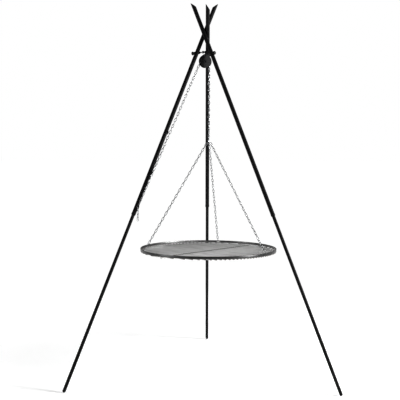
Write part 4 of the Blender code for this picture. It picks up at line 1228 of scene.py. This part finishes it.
def support_bar(sizes, axes):
    """A rounded rectangle carried along the grate's other diameter, and half its length."""
    reach = sizes.diameter / 2 - sizes.rod_inset
    wide = sizes.support_width / 2
    half = sqrt(reach**2 - wide**2)
    top = -sizes.rod / 2 + sizes.support_weld
    section = wall(-wide, wide, top - sizes.support_height, top, SUPPORT_EDGE)
    run = np.array([-half, -half + SUPPORT_END, half - SUPPORT_END, half])
    scale = np.array([0.92, 1.0, 1.0, 0.92])
    middle = section.mean(axis=0)
    rings = middle + (section - middle) * scale[:, None, None]
    along = np.broadcast_to(run[:, None, None], (*rings.shape[:2], 1))
    points = np.concatenate([rings[..., :1], along, rings[..., 1:]], axis=-1)
    return Skin().grid(from_local(points, axes)), half


def eye_seat(azimuth, grate):
    """Distance from the grate's axis to a rim eye's ends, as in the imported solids, whose band is
    rolled in flat facets: the inner radius times the cosine of half a facet, over the cosine of
    the angle from the facet's middle."""
    facet = 2 * pi / grate.facets
    inner = grate.diameter / 2 - grate.rim_plate
    spread = np.arctan(grate.eye_width / grate.diameter)
    ends = azimuth + np.array([-spread, spread])
    band = inner * cos(facet / 2) / np.cos(ends % facet - facet / 2)
    return float(band.min() * cos(spread)) - CLEARANCE


def rim_eye_path(face, sizes):
    """Three sides of a rectangle with eased corners."""
    half = (sizes.eye_width - sizes.eye_wire) / 2
    inner = face - sizes.eye_reach
    corners = [(face, -half), (inner, -half), (inner, half), (face, half)]
    return eased(corners, RIM_EYE_BEND, steps=8)


class GRILL_OT_grate(bpy.types.Operator):
    """The grate: its rim, rods, support bar, chain eyes and welds"""

    bl_idname = "grill.grate"
    bl_label = "Grate"

    def execute(self, context):
        sizes = context.scene.grill_grate
        hub = joint_point("grate_spin")
        axis = Vector((hub.x, hub.y, 0))
        outer = sizes.diameter / 2
        low = sizes.rim_top - sizes.rim_height
        band = wall(outer - sizes.rim_plate, outer, low, sizes.rim_top, RIM_EDGE)
        rim = lathe(band, placed(axis, UP, (1, 0, 0)), sides=288, closed=True)
        make_piece("grate_rim", rim, "band", "grate", "Grate_Rim")

        rod_top = low - CLEARANCE
        axes = placed(axis + UP * (rod_top - sizes.rod / 2), UP, horizontal(sizes.rod_azimuth))
        rods, offset, half = rod_row(sizes, axes)
        make_piece("grate_rods", rods, "rod", "grate", "Grate_Rods")
        support, support_half = support_bar(sizes, axes)
        make_piece("grate_support", support, "support", "grate")

        welds = Skin()
        level = np.full_like(half, sizes.rod / 2 - END_WELD_SINK)
        reach = half - END_WELD_INSET
        ends = [np.stack([side * reach, offset, level], axis=1) for side in (1, -1)]
        add_balls(welds, np.concatenate(ends), END_WELD, axes)
        level = np.full_like(offset, -sizes.rod / 2 + sizes.support_weld)
        crossings = np.stack([0 * offset, offset, level], axis=1)
        crossings = crossings[np.abs(offset) < support_half - SIDE_WELD_INSET]
        for shift in (-1, 1):
            beside = crossings + (shift * sizes.support_width / 2, 0, -SIDE_WELD_DROP)
            add_balls(welds, beside, SIDE_WELD, axes)
        eye_level = sizes.rim_top - sizes.eye_drop
        for name, azimuth in CHAIN_AZIMUTHS.items():
            eye_axes = placed(axis + UP * eye_level, UP, horizontal(azimuth))
            path = rim_eye_path(eye_seat(azimuth, sizes), sizes)
            eye = bent_rod(path, eye_axes, sizes.eye_wire / 2, sides=16)
            make_piece(f"rim_eye_{name.lower()}", eye, "rod", "grate", f"Rim_Eye_{name}")
            add_balls(welds, path[[0, -1]], EYE_WELD, eye_axes, sides=12, rings=7)
        make_piece("grate_welds", welds, "weld", "grate", sharp=80)
        return {"FINISHED"}


class GrateLine:
    """One grate chain's line, from the hub plate's web to the hook in the rim's eye."""

    def __init__(self, azimuth, scene):
        grate = scene.grill_grate
        hub = scene.grill_hub
        chain = scene.grill_chain
        self.outward = horizontal(azimuth)
        centre = joint_point("grate_spin")
        eye_radius = eye_seat(azimuth, grate) - grate.eye_reach
        self.eye = Vector((centre.x, centre.y, 0)) + self.outward * eye_radius
        self.eye += UP * (grate.rim_top - grate.eye_drop)
        web = centre + self.outward * hub.web_radius
        self.along = (self.eye - web).normalized()
        self.sideways = UP.cross(self.outward)
        lean = acos(-self.along.z)
        web_reach = (hub.web * sin(lean) + hub.plate * cos(lean)) / 2
        self.top = web - self.along * (web_reach + CLEARANCE)
        self.lower_bend = (grate.eye_wire + grate.hook_wire) / 2 + CLEARANCE
        self.upper_bend = (chain.wire * sqrt(2) + grate.hook_wire) / 2 + CLEARANCE
        self.link_seat = grate.hook_length - self.upper_bend
        self.bottom = self.eye - self.along * (self.link_seat + (chain.wire + chain.play) / 2)


class GRILL_OT_grate_chains(bpy.types.Operator):
    """The three grate chains and the bright hooks that hold them to the rim"""

    bl_idname = "grill.grate_chains"
    bl_label = "Grate chains"

    def execute(self, context):
        scene = context.scene
        sizes = scene.grill_chain
        for name, azimuth in CHAIN_AZIMUTHS.items():
            side = name.lower()
            line = GrateLine(azimuth, scene)
            points = strand(line.top, line.bottom, sizes.pitch)
            normals = link_normals(points, line.sideways, line.sideways.cross(line.along))
            chain = chain_of(points, normals, sizes)
            node = f"Grate_Chain_{name}"
            make_piece(f"grate_chain_{side}", chain, "zinc", "grate", node, CHAIN_SHARP)
            lower = arc((0, 0), line.lower_bend, radians(20), radians(-180), 20)
            upper = arc((0, line.link_seat), line.upper_bend, radians(180), radians(-20), 20)
            across = line.outward.cross(line.along)
            axes = placed(line.eye, across, across.cross(line.along))
            wire = scene.grill_grate.hook_wire / 2
            hook = bent_rod(np.vstack([lower, upper]), axes, wire, sides=14)
            make_piece(f"grate_hook_{side}", hook, "zinc", "grate", f"Grate_Hook_{name}")
        return {"FINISHED"}


# Stage

WHITE = (1, 1, 1, 1)
FLOOR_GLOW = (0.34, 0.34, 0.34)
ROOM_LIGHT_RANGE = (-0.9, 0.5)
ROOM_LIGHT = (0.10, 0.34)
LAMPS = (
    ("Key", (4.4, -1.5, 2.6), (0, 0, 0.7), 1.1, 240),
    ("Rim", (3.0, 2.6, 3.0), (0, 0, 1.0), 1.5, 30),
    ("Right", (3.8, -1.5, 1.2), (0, 0, 0.7), 2.0, 140),
    ("Left", (-3.8, -1.6, 0.9), (0, 0, 0.7), 2.0, 50),
)


def make_camera(scene):
    """Camera fitted to the photograph: focal length in pixels, height, distance and small turns."""
    focal_pixels = 837.03
    place = Vector((0.0368, -4.4688, 1.1773))
    pitch = radians(3.71)
    yaw = 0.0127
    roll = -0.0041
    forward = Vector((-sin(yaw) * cos(pitch), cos(yaw) * cos(pitch), -sin(pitch)))
    level = forward.cross(UP).normalized()
    raised = level.cross(forward)
    right = level * cos(roll) - raised * sin(roll)
    top = level * sin(roll) + raised * cos(roll)
    camera = bpy.data.cameras.new("Camera")
    camera.sensor_width = 36
    camera.lens = focal_pixels * camera.sensor_width / IMAGE_WIDTH
    camera.clip_end = 200
    item = bpy.data.objects.new("Camera", camera)
    turned = Matrix((right, top, -forward)).transposed().to_4x4()
    item.matrix_world = Matrix.Translation(place) @ turned
    scene.collection.objects.link(item)
    scene.camera = item


def make_light(name, place, target, size, energy):
    light = bpy.data.lights.new(name, "AREA")
    light.shape = "DISK"
    light.size = size
    light.energy = energy
    item = bpy.data.objects.new(name, light)
    item.location = place
    item.rotation_euler = (Vector(target) - Vector(place)).to_track_quat("-Z", "Y").to_euler()
    bpy.context.scene.collection.objects.link(item)


def make_world(scene):
    """White backdrop; the light that falls on the grill is dim in front and bright behind."""
    world = bpy.data.worlds.new("Studio")
    world.use_nodes = True
    tree = world.node_tree
    backdrop = tree.nodes["Background"]
    set_inputs(tree, backdrop, {"Color": WHITE})
    direction = tree.nodes.new("ShaderNodeTexCoord").outputs["Generated"]
    parts = add_node(tree, "ShaderNodeSeparateXYZ", {0: direction})
    strength = smooth_step(tree, parts.outputs["Y"], *ROOM_LIGHT_RANGE, *ROOM_LIGHT)
    room = add_node(tree, "ShaderNodeBackground", {"Color": WHITE, "Strength": strength})
    rays = tree.nodes.new("ShaderNodeLightPath").outputs["Is Camera Ray"]
    values = {0: rays, 1: room.outputs[0], 2: backdrop.outputs[0]}
    mixed = add_node(tree, "ShaderNodeMixShader", values)
    set_inputs(tree, tree.nodes["World Output"], {"Surface": mixed.outputs[0]})
    scene.world = world


def floor_material(base):
    """Pale floor that takes on the backdrop's white far from the grill."""
    material, tree, shader = shaded_material("Studio floor")
    place = tree.nodes.new("ShaderNodeTexCoord").outputs["Object"]
    for socket, near, far, inner, outer in (
        ("Base Color", base, (0, 0, 0), 0.9, 2.6),
        ("Emission Color", FLOOR_GLOW, (1, 1, 1), 0.75, 2.2),
    ):
        mask = radial_step(tree, place, inner, outer)
        set_inputs(tree, shader, {socket: mix_colour(tree, mask, (*near, 1), (*far, 1))})
    values = {"Emission Strength": 1.0, "Roughness": 0.9, "Specular IOR Level": 0.1}
    set_inputs(tree, shader, values)
    return material


class GRILL_OT_stage(bpy.types.Operator):
    """The pale floor, the studio's light and the camera"""

    bl_idname = "grill.stage"
    bl_label = "Stage"

    def execute(self, context):
        scene = context.scene
        rings = np.array([0.02, 1, 3, 8, 20, 60])
        points = around(rings[:, None], round_about(96), 0)
        index = np.arange(points.shape[0] * points.shape[1]).reshape(points.shape[:2])
        beside = np.roll(index, -1, axis=1)
        quads = np.stack([index[:-1], index[1:], beside[1:], beside[:-1]], axis=-1).reshape(-1, 4)
        mesh = bpy.data.meshes.new("Floor")
        mesh.from_pydata(points.reshape(-1, 3).tolist(), [], quads.tolist() + [index[0].tolist()])
        mesh.materials.append(floor_material(scene.grill_finishes.floor))
        floor_piece = bpy.data.objects.new("Floor", mesh)
        scene.collection.objects.link(floor_piece)
        make_camera(scene)
        make_world(scene)
        for lamp in LAMPS:
            make_light(*lamp)
        scene.view_settings.view_transform = "Standard"
        scene.view_settings.gamma = 0.8
        return {"FINISHED"}


class GRILL_OT_finishes(bpy.types.Operator):
    """The coat, plastic, zinc, steel and weld materials"""

    bl_idname = "grill.finishes"
    bl_label = "Finishes"

    def execute(self, context):
        make_finishes(context.scene.grill_finishes, context.scene.grill_grate)
        return {"FINISHED"}


OPERATORS = (
    GRILL_OT_finishes,
    GRILL_OT_legs,
    GRILL_OT_bolts,
    GRILL_OT_head,
    GRILL_OT_pulley,
    GRILL_OT_hooks,
    GRILL_OT_height_chain,
    GRILL_OT_hub,
    GRILL_OT_grate,
    GRILL_OT_grate_chains,
    GRILL_OT_stage,
)
SETTINGS = {
    "grill_legs": LegSizes,
    "grill_bolts": BoltSizes,
    "grill_pulley": PulleySizes,
    "grill_chain": ChainSizes,
    "grill_hub": HubSizes,
    "grill_grate": GrateSizes,
    "grill_finishes": Finishes,
}


class GRILL_PT_panel(bpy.types.Panel):
    """Lists the grill's operators in the 3D view's sidebar"""

    bl_idname = "GRILL_PT_panel"
    bl_label = "Tripod grill"
    bl_space_type = "VIEW_3D"
    bl_region_type = "UI"
    bl_category = "Grill"

    def draw(self, context):
        for operator in OPERATORS:
            self.layout.operator(operator.bl_idname)


def register():
    for group in SETTINGS.values():
        bpy.utils.register_class(group)
    for name, group in SETTINGS.items():
        setattr(bpy.types.Scene, name, PointerProperty(type=group))
    for item in (*OPERATORS, GRILL_PT_panel):
        bpy.utils.register_class(item)


def unregister():
    for item in (GRILL_PT_panel, *reversed(OPERATORS)):
        bpy.utils.unregister_class(item)
    for name, group in SETTINGS.items():
        delattr(bpy.types.Scene, name)
        bpy.utils.unregister_class(group)


def main():
    register()
    for operator in OPERATORS:
        group, name = operator.bl_idname.split(".")
        if getattr(getattr(bpy.ops, group), name)() != {"FINISHED"}:
            raise RuntimeError(f"{operator.bl_label} didn't finish")
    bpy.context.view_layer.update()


if __name__ == "__main__":
    main()
